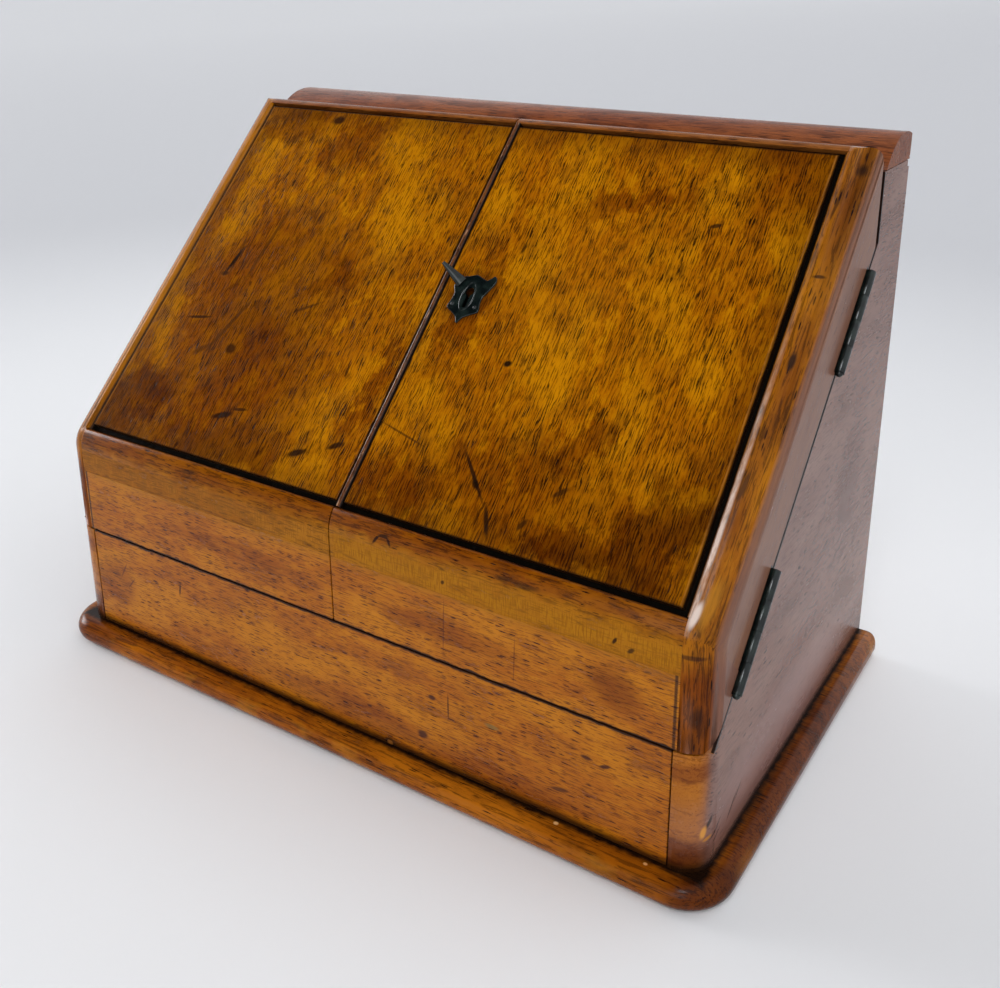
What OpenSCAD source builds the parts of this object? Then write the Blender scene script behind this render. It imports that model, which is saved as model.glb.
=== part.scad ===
// Slope-fronted stationery cabinet. Two wrap-over doors close a stepped letter rack,
// a hinged lid covers a pen compartment and a full-width drawer sits on the plinth.
// Millimetres. X is across, Y runs back from the front, Z is up from the table.

/* [Case] */
// Width over the two side boards
body_w = 360; // [344:2:400]
// Depth of the case from its front face to its back face
case_depth = 208; // [206:1:216]
// Thickness of the side boards
side_t = 14; // [13:0.5:15]
// Angle of the sloping front above the horizontal
slope_deg = 45.5; // [45:0.25:46]
// Height at which the sloping seam would meet the front face
seam_z = 62; // [61:0.5:63]
// Depth of the upright part of the case behind the slope
upright_d = 41; // [40:0.5:42]
// Height of the upright front edge of the sides above the slope
upright_h = 30; // [28:0.5:32]
// Thickness of the back board
back_t = 8; // [6:0.5:9]
// Depth of the rebates and housings in the side boards
housing_d = 4; // [3:0.5:6]
// How much wider the sloping seam is at its upper end
seam_taper = 1.1; // [0.4:0.1:1.3]

/* [Plinth] */
// Thickness of the plinth board
plinth_t = 12; // [10:0.5:13]
// How far the rounded nose stands out in front and at the sides
nose_out = 10; // [8:0.5:12]
// Radius of the front corners of the plinth in plan
plinth_corner_r = 21; // [16:1:26]
// Radius of the rear corners of the plinth in plan
plinth_rear_r = 4; // [1:0.5:6]

/* [Doors] */
// Thickness of the doors, seam plane to panel face
door_t = 38.5; // [37:0.5:40]
// Height of the upper edge of the drawer front
drawer_top = 66; // [65.5:0.5:67]
// Gap between two closed edges
seam_gap = 0.75; // [0.6:0.05:0.9]
// Radius of the round along the outer edge of the doors
round_r = 12.5; // [11:0.5:13.5]
// Radius of the bend between the slope and the upright front
bend_r = 16; // [15:0.5:18]
// Radius of the top edge of the doors
top_r = 6.5; // [5.5:0.25:7]
// How far the doors end in front of the upright edge of the sides
door_short = 4; // [3.5:0.25:5]
// Thickness of the frame boards of the doors
frame_t = 12; // [11:0.5:12.5]
// Height of the joint between the lower board and the bent rail
rail_z = 99.25; // [96:0.25:102]
// Centre of the gap between the doors
meet_x = -1.4; // [-2:0.1:0]
// Width of the gap between the doors
meet_gap = 0.7; // [0.6:0.05:0.9]
// Thickness of the raised panels
panel_t = 15; // [14:0.5:16]
// Width of the groove around the raised panels
quirk_w = 2.5; // [1.5:0.25:3.5]
// Depth of the groove around the raised panels
quirk_d = 3; // [2.5:0.25:4]
// Distance of the outer edge of the raised panels from the stile's joint
panel_in = 3.2; // [2.8:0.1:3.8]
// Width of the stile's lip over the edge of the panel board
lip_w = 1.6; // [1:0.1:2]
// Radius of the round shoulder of the lip
lip_r = 3; // [2:0.1:3.2]
// Radius of the eased edge of the bent rail along the groove
ease_r = 2; // [1:0.25:2.5]
// How far the upper groove reaches into the rounded top edge
groove_under = 0.6; // [0:0.1:1]
// Width of the bead on the right door
bead_w = 3.1; // [2.4:0.1:3.4]
// How far the bead stands above the panel
bead_up = 0.6; // [0.3:0.1:1]
// Length of the ledge of the top rail behind the panel
top_ledge = 40; // [39:0.5:42]
// Length of the ledge of the bent rail behind the panel
bend_ledge = 10; // [6:1:14]
// Length of the thin tongue at each end of the panel
tongue_len = 10; // [8:0.5:11]
// Depth of the back of the tongue below the panel face
tongue_d = 8; // [7:0.25:8.5]

/* [Door hinges] */
// Length of each hinge
hinge_len = 50.8; // [46:0.2:54]
// Radius of the hinge barrel
barrel_r = 2.15; // [1.9:0.05:2.3]
// How far the barrel axis stands off the side of the case
barrel_out = 1.5; // [1.3:0.1:1.8]
// Radius of the hinge pin
pin_r = 1; // [0.8:0.05:1.1]
// Thickness of the hinge leaves
leaf_t = 1.2; // [1:0.1:1.4]
// Width of the leaves from the pin axis
leaf_w = 11; // [10:0.5:12]
// Middle of the lower hinge, measured up the seam
hinge_low = 56; // [52:1:60]
// Middle of the upper hinge, measured down from the top of the seam
hinge_inset = 42.3; // [38:0.1:46]
// Number of knuckles on each barrel
knuckle_count = 4; // [4:2:6]

/* [Lid] */
// Height of the lid board
lid_t = 14; // [12:0.5:15]
// Radius of the long curve of the lid
lid_r = 33; // [30:1:40]
// Distance of the crown of the lid from the back face
lid_crown = 11.5; // [9:0.5:14]
// How far the front edge of the lid lies behind the upright edge of the sides
lid_set = 2.5; // [2:0.25:4]
// Gap under the closed lid
lid_gap = 0.3; // [0.3:0.05:0.5]
// Length of each lid hinge
lid_hinge_len = 38; // [32:1:46]
// Distance of the lid hinges from the middle
lid_hinge_x = 110; // [90:2:130]
// Radius of the lid hinge barrel
lid_barrel_r = 1.8; // [1.6:0.05:1.85]
// Width of the lid hinge leaves
lid_leaf_w = 6; // [5.5:0.1:6]
// Thickness of the lid hinge leaves
lid_leaf_t = 1; // [0.8:0.1:1.1]
// Radius of the lid hinge pins
lid_pin_r = 0.8; // [0.6:0.05:0.9]

/* [Drawer] */
// Gap at each end of the drawer front
drawer_gap = 0.6; // [0.4:0.05:0.9]
// Thickness of the drawer front
front_t = 14; // [12:0.5:16]
// Thickness of the drawer sides and back
drawer_side_t = 8; // [7:0.5:10]
// Height of the drawer sides
drawer_side_h = 47; // [42:1:49]
// Length of the stops behind the drawer
stop_len = 10; // [8:1:30]
// Thickness of the drawer bottom
bottom_t = 5; // [4:0.5:6]
// Wood that covers the dovetails in front
lap_t = 4; // [3:0.5:5]
// Number of dovetails at each corner
tail_count = 3; // [2:1:4]

/* [Letter rack] */
// Thickness of the rack boards
rack_t = 5; // [4:0.5:6]
// Thickness of the grooved linings
liner_t = 4; // [3.5:0.5:5]
// Thickness of the floor above the drawer
floor_t = 8; // [7:0.5:9]
// Depth of the front of the floor
floor_y = 16; // [15:0.5:18]
// Front face of the first rack board
rack_front_y = 54; // [52:1:56]
// Distance from one rack board to the next
rack_pitch = 40; // [38:1:42]
// Height of the first rack board above the floor
rack_front_h = 34; // [28:1:36]
// Step in height from one rack board to the next
rack_step = 42; // [36:1:43]
// Radius of the finger scoop in the rack boards
scoop_r = 70; // [60:2:90]
// Depth of the finger scoop in the rack boards
scoop_d = 16; // [10:1:20]
// Space at each end of the scooped block in front of the rack
trough_gap = 12; // [8:1:40]
// Radius of the scoops in the block
trough_r = 14; // [10:1:15]

/* [Lock] */
// Distance of the keyhole from the middle of the cabinet
key_x = 17.5; // [16:0.5:20]
// Distance of the keyhole down the slope from the upper groove
key_down = 97.25; // [90:0.25:107]
// Radius of the round end of the keyhole
key_r = 2.2; // [1.8:0.1:2.5]
// Length of the lock case along the slope
lock_len = 46; // [40:1:50]
// Height of the lock case behind the panel
lock_h = 10; // [9:0.5:11]
// Travel of the lock bolt
lock_throw = 5; // [4:0.5:6]
// Travel of the slide bolt
slide_throw = 10; // [8:0.5:11]

/* [Hidden] */
// Small extra length that keeps cuts clean
cut = 1;
// Clearance between glued or screwed pieces
joint_fit = 0.05;
// Clearance between a sliding or turning piece and its guide
slide_fit = 0.08;
// Clearance around pieces that pass each other
pass_fit = 0.35;
// Facets of the drawn circles
$fn = 64;

half_w = body_w / 2;
inner_w = half_w - side_t;
shift_y = -(case_depth - nose_out) / 2;
upper_y = case_depth - upright_d;
seam_len = upper_y / cos(slope_deg);
lid_z = seam_z + upper_y * tan(slope_deg) + upright_h;
door_back = upper_y - door_short;
lid_front = upper_y + lid_set;
hinge_high = seam_len - hinge_inset;
panel_z = seam_z + door_t / cos(slope_deg);
door_z = drawer_top + seam_gap;
cheek_x = half_w - round_r;
// Clearance of the panel groove from the bend
bend_land = 0.25;
bend_len = bend_r * tan((90 - slope_deg) / 2);
bend_mid = [bend_r, panel_z - bend_len];
frame_s = bend_len + bend_land;
panel_s = frame_s + quirk_w;
top_len = top_r * tan((90 + slope_deg) / 2);
top_s = door_back / cos(slope_deg) - top_len;
rail_s = top_s + groove_under;
panel_end = rail_s - quirk_w;
key_s = rail_s - key_down;
top_mid = [door_back - top_r, panel_z + door_back * tan(slope_deg) - top_len];
// Share by which a corner cut reaches past the sharp corner
corner_over = 0.2;
// Largest size of a cutting block
big = body_w + case_depth;
seam_half = seam_gap * cos(slope_deg) / 2;
barrel_x = half_w + barrel_out;
back_y = case_depth - back_t;
drawer_len = back_y - stop_len;
floor_z = door_z;
floor_top = floor_z + floor_t;
liner_x = inner_w - liner_t;
trough_w = 2 * (liner_x - trough_gap);
groove_d = liner_t / 2;
lid_axis_y = case_depth - lid_barrel_r - 0.1;
lid_relief_h = 3.3;
lid_relief_w = 2.6;
tray_front_y = lid_front - 0.5;
tray_front_t = 6;
tray_h = 38;
tray_floor_up = 8;
tray_floor_t = 4;

wood = [0.66, 0.37, 0.13];
wood_red = [0.58, 0.27, 0.12];
wood_dark = [0.45, 0.24, 0.12];
wood_pale = [0.72, 0.50, 0.26];
metal_black = [0.13, 0.15, 0.14];
brass = [0.66, 0.52, 0.26];

// Moves the case from its front face to the middle of its footprint
module placed() {
  translate([0, shift_y, 0])
    children();
}

// Mirrors a right-hand piece for the left side
module on_side(side) {
  if (side < 0)
    mirror([1, 0, 0])
      children();
  else
    children();
}

// Stands a side view, depth against height, and draws it out across the cabinet
module across(from_x, to_x) {
  translate([from_x, 0, 0])
    rotate([90, 0, 90])
      linear_extrude(to_x - from_x)
        children();
}

// Local axes on the panel face: X across, Y up the slope, Z out of the face
module on_slope() {
  translate([0, 0, panel_z])
    rotate([slope_deg, 0, 0])
      children();
}

// Local axes on the seam plane: X across, Y up the seam, Z out of the case
module on_seam() {
  translate([0, 0, seam_z])
    rotate([slope_deg, 0, 0])
      children();
}

// Block given by its two corners
module block(low, high) {
  translate(low)
    cube(high - low);
}

// Side view of everything in front of a plane at a height above the seam
module before_seam_2d(level) {
  translate([0, seam_z])
    rotate(slope_deg)
      translate([-big, level])
        square([2 * big, big]);
}

// Point of the side view at a length up the slope and a depth behind the face
function slope_pt(s, d) = [
  s * cos(slope_deg) + d * sin(slope_deg),
  panel_z + s * sin(slope_deg) - d * cos(slope_deg)
];

// Rounds one corner of a side view: the waste outside the circle
module corner_waste_2d(from_pt, corner, to_pt, mid, r) {
  difference() {
    polygon([from_pt, corner + corner_over * (corner - mid), to_pt, mid]);
    translate(mid)
      circle(r);
  }
}

// Side view of a closed door, filled inside
module door_skin_2d() {
  top_corner = [door_back, panel_z + door_back * tan(slope_deg)];
  difference() {
    polygon([[0, door_z], [door_back, door_z], top_corner, [0, panel_z]]);
    corner_waste_2d([0, bend_mid[1]], [0, panel_z], slope_pt(bend_len, 0), bend_mid, bend_r);
    corner_waste_2d(slope_pt(top_s, 0), top_corner, [door_back, top_mid[1]], top_mid, top_r);
  }
}

// Hollow of the plane between two depths behind the panel face
module slope_strip_2d(s0, s1, d0, d1) {
  polygon([slope_pt(s0, d0), slope_pt(s1, d0), slope_pt(s1, d1), slope_pt(s0, d1)]);
}

// Inner edge of a door on its own side of the cabinet
function inner_x(side) = side * meet_x + meet_gap / 2;

// Waste of the quarter round: width against depth
module round_waste_2d(depth_mid) {
  difference() {
    translate([cheek_x, depth_mid - round_r - cut])
      square([round_r + cut, round_r + cut]);
    translate([cheek_x, depth_mid])
      circle(round_r);
  }
}

// Section of the outer stile: width against depth, with its quarter round
module cheek_section_2d(depth) {
  difference() {
    translate([cheek_x, 0])
      square([round_r, depth]);
    round_waste_2d(round_r);
  }
}

// Section of the lip with its round shoulder: width against depth
module lip_2d() {
  difference() {
    translate([cheek_x - lip_w, 0])
      square([lip_w, quirk_d - joint_fit]);
    lip_waste_2d();
  }
}

// Waste of the round shoulder
module lip_waste_2d() {
  difference() {
    translate([cheek_x - lip_w - cut, -cut])
      square([lip_r + cut, lip_r + cut]);
    translate([cheek_x - lip_w + lip_r, lip_r])
      circle(lip_r);
  }
}

// Outer stile before its ends are cut: down the front, round the bend and up the slope
module cheek_run() {
  inner_d = door_t - seam_half;
  core_d = (round_r + bend_r) / 2;
  seam_at_core = seam_z + core_d * tan(slope_deg) + seam_half / cos(slope_deg);
  translate([0, 0, door_z])
    linear_extrude(bend_mid[1] - door_z)
      cheek_section_2d(bend_r);
  translate([0, bend_mid[0], bend_mid[1]])
    rotate([90, 0, 90])
      rotate([0, 0, 90 + slope_deg])
        rotate_extrude(angle = 90 - slope_deg)
          difference() {
            translate([0, cheek_x])
              square([bend_r, round_r]);
            difference() {
              translate([bend_r - round_r, cheek_x])
                square([round_r + cut, round_r + cut]);
              translate([bend_r - round_r, cheek_x])
                circle(round_r);
            }
          }
  on_slope()
    translate([0, bend_len, 0])
      rotate([-90, 0, 0])
        linear_extrude(top_s + 2 * top_len)
          cheek_section_2d(inner_d);
  across(cheek_x, half_w)
    polygon([[core_d, seam_at_core], [core_d, bend_mid[1]], slope_pt(bend_len, core_d),
             slope_pt(top_s, core_d), slope_pt(top_s, inner_d)]);
}

// Row of knuckles, the first or the second of each pair
module knuckles(length, count, first, radius) {
  step = length / count;
  for (i = [first:2:count - 1])
    translate([0, -length / 2 + i * step + slide_fit, 0])
      rotate([-90, 0, 0])
        cylinder(h = step - 2 * slide_fit, r = radius);
}

// Room for the other leaf's knuckles
module knuckle_room(length, count, first, radius) {
  step = length / count;
  for (i = [first:2:count - 1])
    translate([0, -length / 2 + i * step - slide_fit, 0])
      rotate([-90, 0, 0])
        cylinder(h = step + 2 * slide_fit, r = radius + pass_fit);
}

// Places of the screws along a hinge
function screw_places(length) = [-0.36 * length, 0, 0.36 * length];

// Countersunk hole or screw, head up at the origin
module screw_shape(head_r, shank_r, head_h, length, grow) {
  translate([0, 0, -head_h])
    cylinder(h = head_h, r1 = shank_r + grow, r2 = head_r + grow);
  translate([0, 0, -length])
    cylinder(h = length - head_h, r = shank_r + grow);
}

// Screw with a slot across its head
module slotted_screw(head_r, shank_r, head_h, length, slot_w) {
  difference() {
    screw_shape(head_r, shank_r, head_h, length - cut, 0);
    translate([-head_r - cut, -slot_w / 2, -head_h / 2])
      cube([2 * (head_r + cut), slot_w, head_h]);
  }
}

// Sizes of the small screws in the hinges
screw_head_r = 1.9;
screw_shank_r = 1;
screw_head_h = 1;
screw_len = 9;
screw_slot = 0.5;

// Hinge leaf with its knuckles, lying flat below level zero; turned over for the other leaf
module leaf(length, count, first, width, thick, gap, radius, bore) {
  difference() {
    union() {
      translate([-width, -length / 2, -gap - thick])
        cube([width, length, thick]);
      knuckles(length, count, first, radius);
    }
    knuckle_room(length, count, 1 - first, radius);
    rotate([-90, 0, 0])
      translate([0, 0, -length])
        cylinder(h = 2 * length, r = bore);
    for (p = screw_places(length))
      translate([-(width + radius) / 2, p, -gap])
        screw_shape(screw_head_r, screw_shank_r, screw_head_h, screw_len, joint_fit);
  }
}

// Mortise for a leaf and its barrel
module leaf_pocket(length, width, thick, gap, radius) {
  translate([-width - joint_fit, -length / 2 - joint_fit, -gap - thick - joint_fit])
    cube([width + joint_fit, length + 2 * joint_fit, thick + 2 * joint_fit + gap + cut]);
  rotate([-90, 0, 0])
    translate([0, 0, -length / 2 - pass_fit])
      cylinder(h = length + 2 * pass_fit, r = radius + pass_fit);
  for (p = screw_places(length))
    translate([-(width + radius) / 2, p, -gap])
      screw_shape(screw_head_r, screw_shank_r, screw_head_h, screw_len, joint_fit);
}

// Screws of one leaf
module leaf_screws(length, width, gap, radius) {
  for (p = screw_places(length))
    translate([-(width + radius) / 2, p, -gap])
      rotate([0, 0, 30 + p])
        slotted_screw(screw_head_r, screw_shank_r, screw_head_h, screw_len, screw_slot);
}

// Both hinges of the right door
module at_door_hinges() {
  for (s = [hinge_low, hinge_high])
    on_seam()
      translate([barrel_x, s, 0])
        children();
}

// Turns a leaf over on to the door
module turned_over() {
  mirror([0, 0, 1])
    children();
}

// Half of the gap between the two leaves
leaf_half = 0.35;

module case_leaves(side) {
  color(metal_black)
    placed()
      on_side(side)
        at_door_hinges()
          leaf(hinge_len, knuckle_count, 0, leaf_w, leaf_t, leaf_half, barrel_r, pin_r + slide_fit / 2);
}

module door_leaves(side) {
  color(metal_black)
    placed()
      on_side(side)
        at_door_hinges()
          turned_over()
            leaf(hinge_len, knuckle_count, 1, leaf_w, leaf_t, leaf_half, barrel_r, pin_r + slide_fit / 2);
}

// Pin with a rounded tip below the barrel
pin_tip_r = 1.7;
module pins(side) {
  color(metal_black)
    placed()
      on_side(side)
        at_door_hinges() {
          rotate([-90, 0, 0])
            translate([0, 0, -hinge_len / 2])
              cylinder(h = hinge_len, r = pin_r);
          translate([0, -hinge_len / 2, 0])
            rotate([90, 0, 0])
              intersection() {
                sphere(r = pin_tip_r);
                cylinder(h = pin_tip_r, r = pin_tip_r);
              }
        }
}

// Side view of a side board of the case
module side_board_2d() {
  low_n = -seam_half;
  high_n = -seam_half - seam_taper;
  low_y = (drawer_top - seam_z - low_n / cos(slope_deg)) / tan(slope_deg);
  high_z = seam_z + upper_y * tan(slope_deg) + high_n / cos(slope_deg);
  polygon([
    [0, plinth_t], [case_depth, plinth_t], [case_depth, lid_z],
    [upper_y, lid_z], [upper_y, high_z], [low_y, drawer_top], [0, drawer_top]
  ]);
}

// Front and rear edges of the rack boards
function rack_y(i) = rack_front_y + i * rack_pitch;
function rack_h(i) = rack_front_h + i * rack_step;

module side_board(side) {
  color(wood)
    placed()
      on_side(side)
        difference() {
          across(inner_w, half_w)
            side_board_2d();
          // rounded front corner
          translate([0, 0, plinth_t - cut])
            linear_extrude(drawer_top - plinth_t + 2 * cut)
              round_waste_2d(round_r);
          // rebate of the back board
          block([inner_w - cut, back_y - joint_fit, plinth_t - cut],
                [inner_w + housing_d, case_depth + cut, lid_z + cut]);
          // housing of the floor
          block([inner_w - cut, floor_y - joint_fit, floor_z - joint_fit],
                [inner_w + housing_d, back_y, floor_top + joint_fit]);
          // easing behind the lid hinges
          block([inner_w - cut, case_depth - lid_relief_w, lid_z - lid_relief_h],
                [half_w + cut, case_depth + cut, lid_z + cut]);
          at_door_hinges()
            leaf_pocket(hinge_len, leaf_w, leaf_t, leaf_half, barrel_r);
          at_plinth_screws()
            screw_shape(plinth_screw_head, plinth_screw_r, plinth_screw_sink, plinth_screw_len, joint_fit);
        }
}

// Screws up through the plinth into the side boards
plinth_screw_r = 2;
plinth_screw_head = 4;
plinth_screw_sink = 3;
plinth_screw_len = 34;
plinth_screw_slot = 0.9;
plinth_screw_in = 1;
module at_plinth_screws() {
  for (p = [0.15, 0.5, 0.85])
    translate([half_w - side_t / 2, p * case_depth, plinth_screw_in])
      rotate([180, 0, 0])
        children();
}

module plinth_screws() {
  color(metal_black)
    placed()
      for (side = [-1, 1])
        on_side(side)
          at_plinth_screws()
            slotted_screw(plinth_screw_head, plinth_screw_r, plinth_screw_sink, plinth_screw_len,
                          plinth_screw_slot);
}

// Board with a half-round edge, seen on its end
module nosed_2d(length) {
  nose_r = plinth_t / 2;
  difference() {
    square([length, plinth_t]);
    difference() {
      translate([length - nose_r, -cut])
        square([nose_r + cut, plinth_t + 2 * cut]);
      translate([length - nose_r, nose_r])
        circle(nose_r);
    }
  }
}

// Plinth: half-round nose on the front, the sides and the front corners
module plinth() {
  run_x = half_w + nose_out - plinth_corner_r;
  run_y = plinth_corner_r - nose_out;
  color(wood)
    placed()
      difference() {
        union() {
          translate([-run_x, case_depth, 0])
            rotate([90, 0, -90])
              mirror([0, 0, 1])
                linear_extrude(2 * run_x)
                  nosed_2d(case_depth + nose_out);
          for (side = [-1, 1])
            on_side(side) {
              translate([run_x, case_depth, 0])
                rotate([90, 0, 0])
                  linear_extrude(case_depth - run_y)
                    nosed_2d(plinth_corner_r);
              translate([run_x, run_y, 0])
                rotate([0, 0, -90])
                  rotate_extrude(angle = 90)
                    nosed_2d(plinth_corner_r);
            }
        }
        for (side = [-1, 1])
          on_side(side) {
            // rounded rear corner
            translate([half_w + nose_out - plinth_rear_r, case_depth - plinth_rear_r, -cut])
              linear_extrude(plinth_t + 2 * cut)
                difference() {
                  square(plinth_rear_r + cut);
                  circle(plinth_rear_r);
                }
            at_plinth_screws()
              screw_shape(plinth_screw_head, plinth_screw_r, plinth_screw_sink, plinth_screw_len, joint_fit);
            // mouth of the sunk screw heads
            at_plinth_screws()
              cylinder(h = plinth_screw_in + cut, r = plinth_screw_head + joint_fit);
          }
      }
}

module back_board() {
  x = inner_w + housing_d - joint_fit;
  color(wood_dark)
    placed()
      difference() {
        block([-x, back_y, plinth_t], [x, case_depth, lid_z]);
        block([-half_w, case_depth - lid_relief_w, lid_z - lid_relief_h],
              [half_w, case_depth + cut, lid_z + cut]);
        at_lid_hinges()
          leaf_pocket(lid_hinge_len, lid_leaf_w, lid_leaf_t, lid_gap / 2, lid_barrel_r);
      }
}

module cabinet_floor() {
  x = inner_w + housing_d - joint_fit;
  color(wood)
    placed()
      block([-x, floor_y, floor_z], [x, back_y - joint_fit, floor_top]);
}

// Height of the linings at the upright front of the pen compartment
liner_top = lid_z - tray_h - 2;
liner_behind = 3;

module rack_liner(side) {
  color(wood_pale)
    placed()
      on_side(side)
        difference() {
          across(liner_x, inner_w - joint_fit)
            difference() {
              translate([floor_y, floor_top])
                square([back_y - floor_y - joint_fit, liner_top - floor_top]);
              before_seam_2d(-liner_behind);
            }
          for (i = [0:2])
            block([liner_x - cut, rack_y(i) - joint_fit, floor_top - cut],
                  [liner_x + groove_d, rack_y(i) + rack_t + joint_fit, lid_z]);
        }
}

// Front view of a rack board with a scoop for the fingers between two small rounds
module rack_board_2d(height) {
  x = liner_x + groove_d - joint_fit;
  ear_r = scoop_d / 2;
  difference() {
    translate([-x, 0])
      square([2 * x, height]);
    for (side = [-1, 1])
      translate([side * x / 2, height + scoop_r - scoop_d])
        circle(scoop_r);
    // eased ends of the top edge
    for (side = [-1, 1])
      translate([side * x, height])
        circle(ear_r);
  }
}

module rack_board(i) {
  color(wood)
    placed()
      translate([0, rack_y(i) + rack_t, floor_top])
        rotate([90, 0, 0])
          linear_extrude(rack_t)
            rack_board_2d(rack_h(i));
}

// Upright partition between two rack boards with a rounded top corner
partition_fall = 12;
module partition(i, x) {
  h = rack_h(i) - partition_fall;
  y0 = rack_y(i) + rack_t + joint_fit;
  y1 = rack_y(i + 1) - joint_fit;
  r = (y1 - y0) / 2;
  color(wood_pale)
    placed()
      across(x - rack_t / 2, x + rack_t / 2)
        difference() {
          translate([y0, floor_top])
            square([y1 - y0, h]);
          difference() {
            translate([y0 - cut, floor_top + h - r])
              square([r + cut, r + cut]);
            translate([y0 + r, floor_top + h - r])
              circle(r);
          }
        }
}

// Block with two long scoops with round ends
trough_h = 22;
trough_bar = 12;
module pen_trough() {
  y0 = floor_y + 2;
  y1 = rack_front_y - joint_fit;
  yc = (y0 + y1) / 2;
  run = trough_w / 2 - trough_bar - 2 * trough_r;
  sink = trough_r * 0.25;
  color(wood)
    placed()
      difference() {
        across(-trough_w / 2, trough_w / 2)
          difference() {
            translate([y0, floor_top])
              square([y1 - y0, trough_h]);
            before_seam_2d(-liner_behind);
          }
        for (side = [-1, 1])
          on_side(side)
            translate([trough_bar / 2 + trough_r, yc + 2, floor_top + trough_h + sink]) {
              rotate([0, 90, 0])
                cylinder(h = run, r = trough_r);
              sphere(r = trough_r);
              translate([run, 0, 0])
                sphere(r = trough_r);
            }
      }
}

module pen_compartment_front() {
  color(wood)
    placed()
      difference() {
        block([-inner_w + joint_fit, tray_front_y, lid_z - tray_h],
              [inner_w - joint_fit, tray_front_y + tray_front_t, lid_z - joint_fit]);
        // groove of the compartment floor
        block([-inner_w, tray_front_y + tray_front_t / 2, lid_z - tray_h + tray_floor_up - joint_fit],
              [inner_w, tray_front_y + tray_front_t + cut,
               lid_z - tray_h + tray_floor_up + tray_floor_t + joint_fit]);
        // hole that the slide bolt enters
        on_slope()
          translate([-slide_x, slide_tip_s, -slide_depth])
            rotate([-90, 0, 0])
              cylinder(h = slide_throw + cut, r = slide_r + pass_fit);
      }
}

module pen_compartment_floor() {
  z = lid_z - tray_h + tray_floor_up;
  color(wood_pale)
    placed()
      block([-inner_w + joint_fit, tray_front_y + tray_front_t / 2 + joint_fit, z],
            [inner_w - joint_fit, back_y - joint_fit, z + tray_floor_t]);
}

// Two notched bars that carry the pens
rest_t = 8;
rest_h = 14;
module pen_rests() {
  z = lid_z - tray_h + tray_floor_up + tray_floor_t;
  y0 = tray_front_y + tray_front_t + joint_fit;
  y1 = back_y - joint_fit;
  color(wood)
    placed()
      for (side = [-1, 1])
        on_side(side)
          across(inner_w / 3, inner_w / 3 + rest_t)
            difference() {
              translate([y0, z])
                square([y1 - y0, rest_h]);
              translate([(y0 + y1) / 2, z + rest_h])
                circle((y1 - y0) / 3);
            }
}

// Blocks that stop the drawer
module drawer_stops() {
  stop_w = 30;
  stop_h = 10;
  stop_gap = 0.3;
  color(wood_dark)
    placed()
      for (side = [-1, 1])
        on_side(side)
          block([inner_w - 2 * stop_w, drawer_len + stop_gap, plinth_t],
                [inner_w - stop_w, back_y - joint_fit, plinth_t + stop_h]);
}

// Outer stile of a door: one solid board with the moulded round
module door_cheek(side) {
  color(wood)
    placed()
      on_side(side)
        difference() {
          union() {
            cheek_run();
            on_slope()
              translate([0, frame_s + joint_fit, 0])
                rotate([-90, 0, 0])
                  linear_extrude(rail_s - frame_s - 2 * joint_fit)
                    lip_2d();
          }
          on_slope()
            translate([0, frame_s, 0])
              rotate([-90, 0, 0])
                linear_extrude(rail_s - frame_s)
                  intersection() {
                    lip_waste_2d();
                    translate([cheek_x, -cut])
                      square(lip_r + cut);
                  }
          // seam at the foot of the upright part
          across(cheek_x - cut, half_w + cut)
            polygon([[0, door_z - cut], [0, seam_z + seam_half / cos(slope_deg)],
                     [bend_r + cut, seam_z + (bend_r + cut) * tan(slope_deg) + seam_half / cos(slope_deg)],
                     [bend_r + cut, door_z - cut]]);
          // upright back with its rounded top edge
          across(cheek_x - cut, half_w + cut) {
            translate([door_back, 0])
              square([big, big]);
          }
          across(cheek_x - cut, half_w + cut)
            corner_waste_2d(slope_pt(top_s, 0), [door_back, panel_z + door_back * tan(slope_deg)],
                            [door_back, top_mid[1]], top_mid, top_r);
          at_door_hinges()
            turned_over()
              leaf_pocket(hinge_len, leaf_w, leaf_t, leaf_half, barrel_r);
        }
}

// Keeps the inner part of the lower board clear of the side boards
module door_front_board(side) {
  color(wood_red)
    placed()
      on_side(side)
        difference() {
          block([inner_x(side), 0, door_z], [cheek_x, frame_t, rail_z]);
          across(inner_w - seam_gap, half_w + cut)
            difference() {
              square([frame_t + cut, rail_z + cut]);
              before_seam_2d(seam_half);
            }
        }
}

// Bent rail: upright part, bend and the ledge under the panel
module door_bottom_rail(side) {
  color(wood)
    placed()
      on_side(side)
        union() {
          across(inner_x(side), cheek_x)
            difference() {
              intersection() {
                door_skin_2d();
                polygon([[0, rail_z], [0, panel_z], slope_pt(frame_s, 0), slope_pt(frame_s, tongue_d),
                         bend_mid, [frame_t, bend_mid[1]], [frame_t, rail_z]]);
              }
              translate(bend_mid)
                circle(bend_r - frame_t);
              corner_waste_2d(slope_pt(frame_s - ease_r, 0), slope_pt(frame_s, 0), slope_pt(frame_s, ease_r),
                              slope_pt(frame_s - ease_r, ease_r), ease_r);
            }
          across(inner_x(side), cheek_x)
            slope_strip_2d(0, frame_s + tongue_len, tongue_d, panel_t);
          across(inner_x(side), cheek_x)
            slope_strip_2d(0, frame_s + tongue_len + bend_ledge, panel_t, panel_t + frame_t / 2);
        }
}

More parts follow.
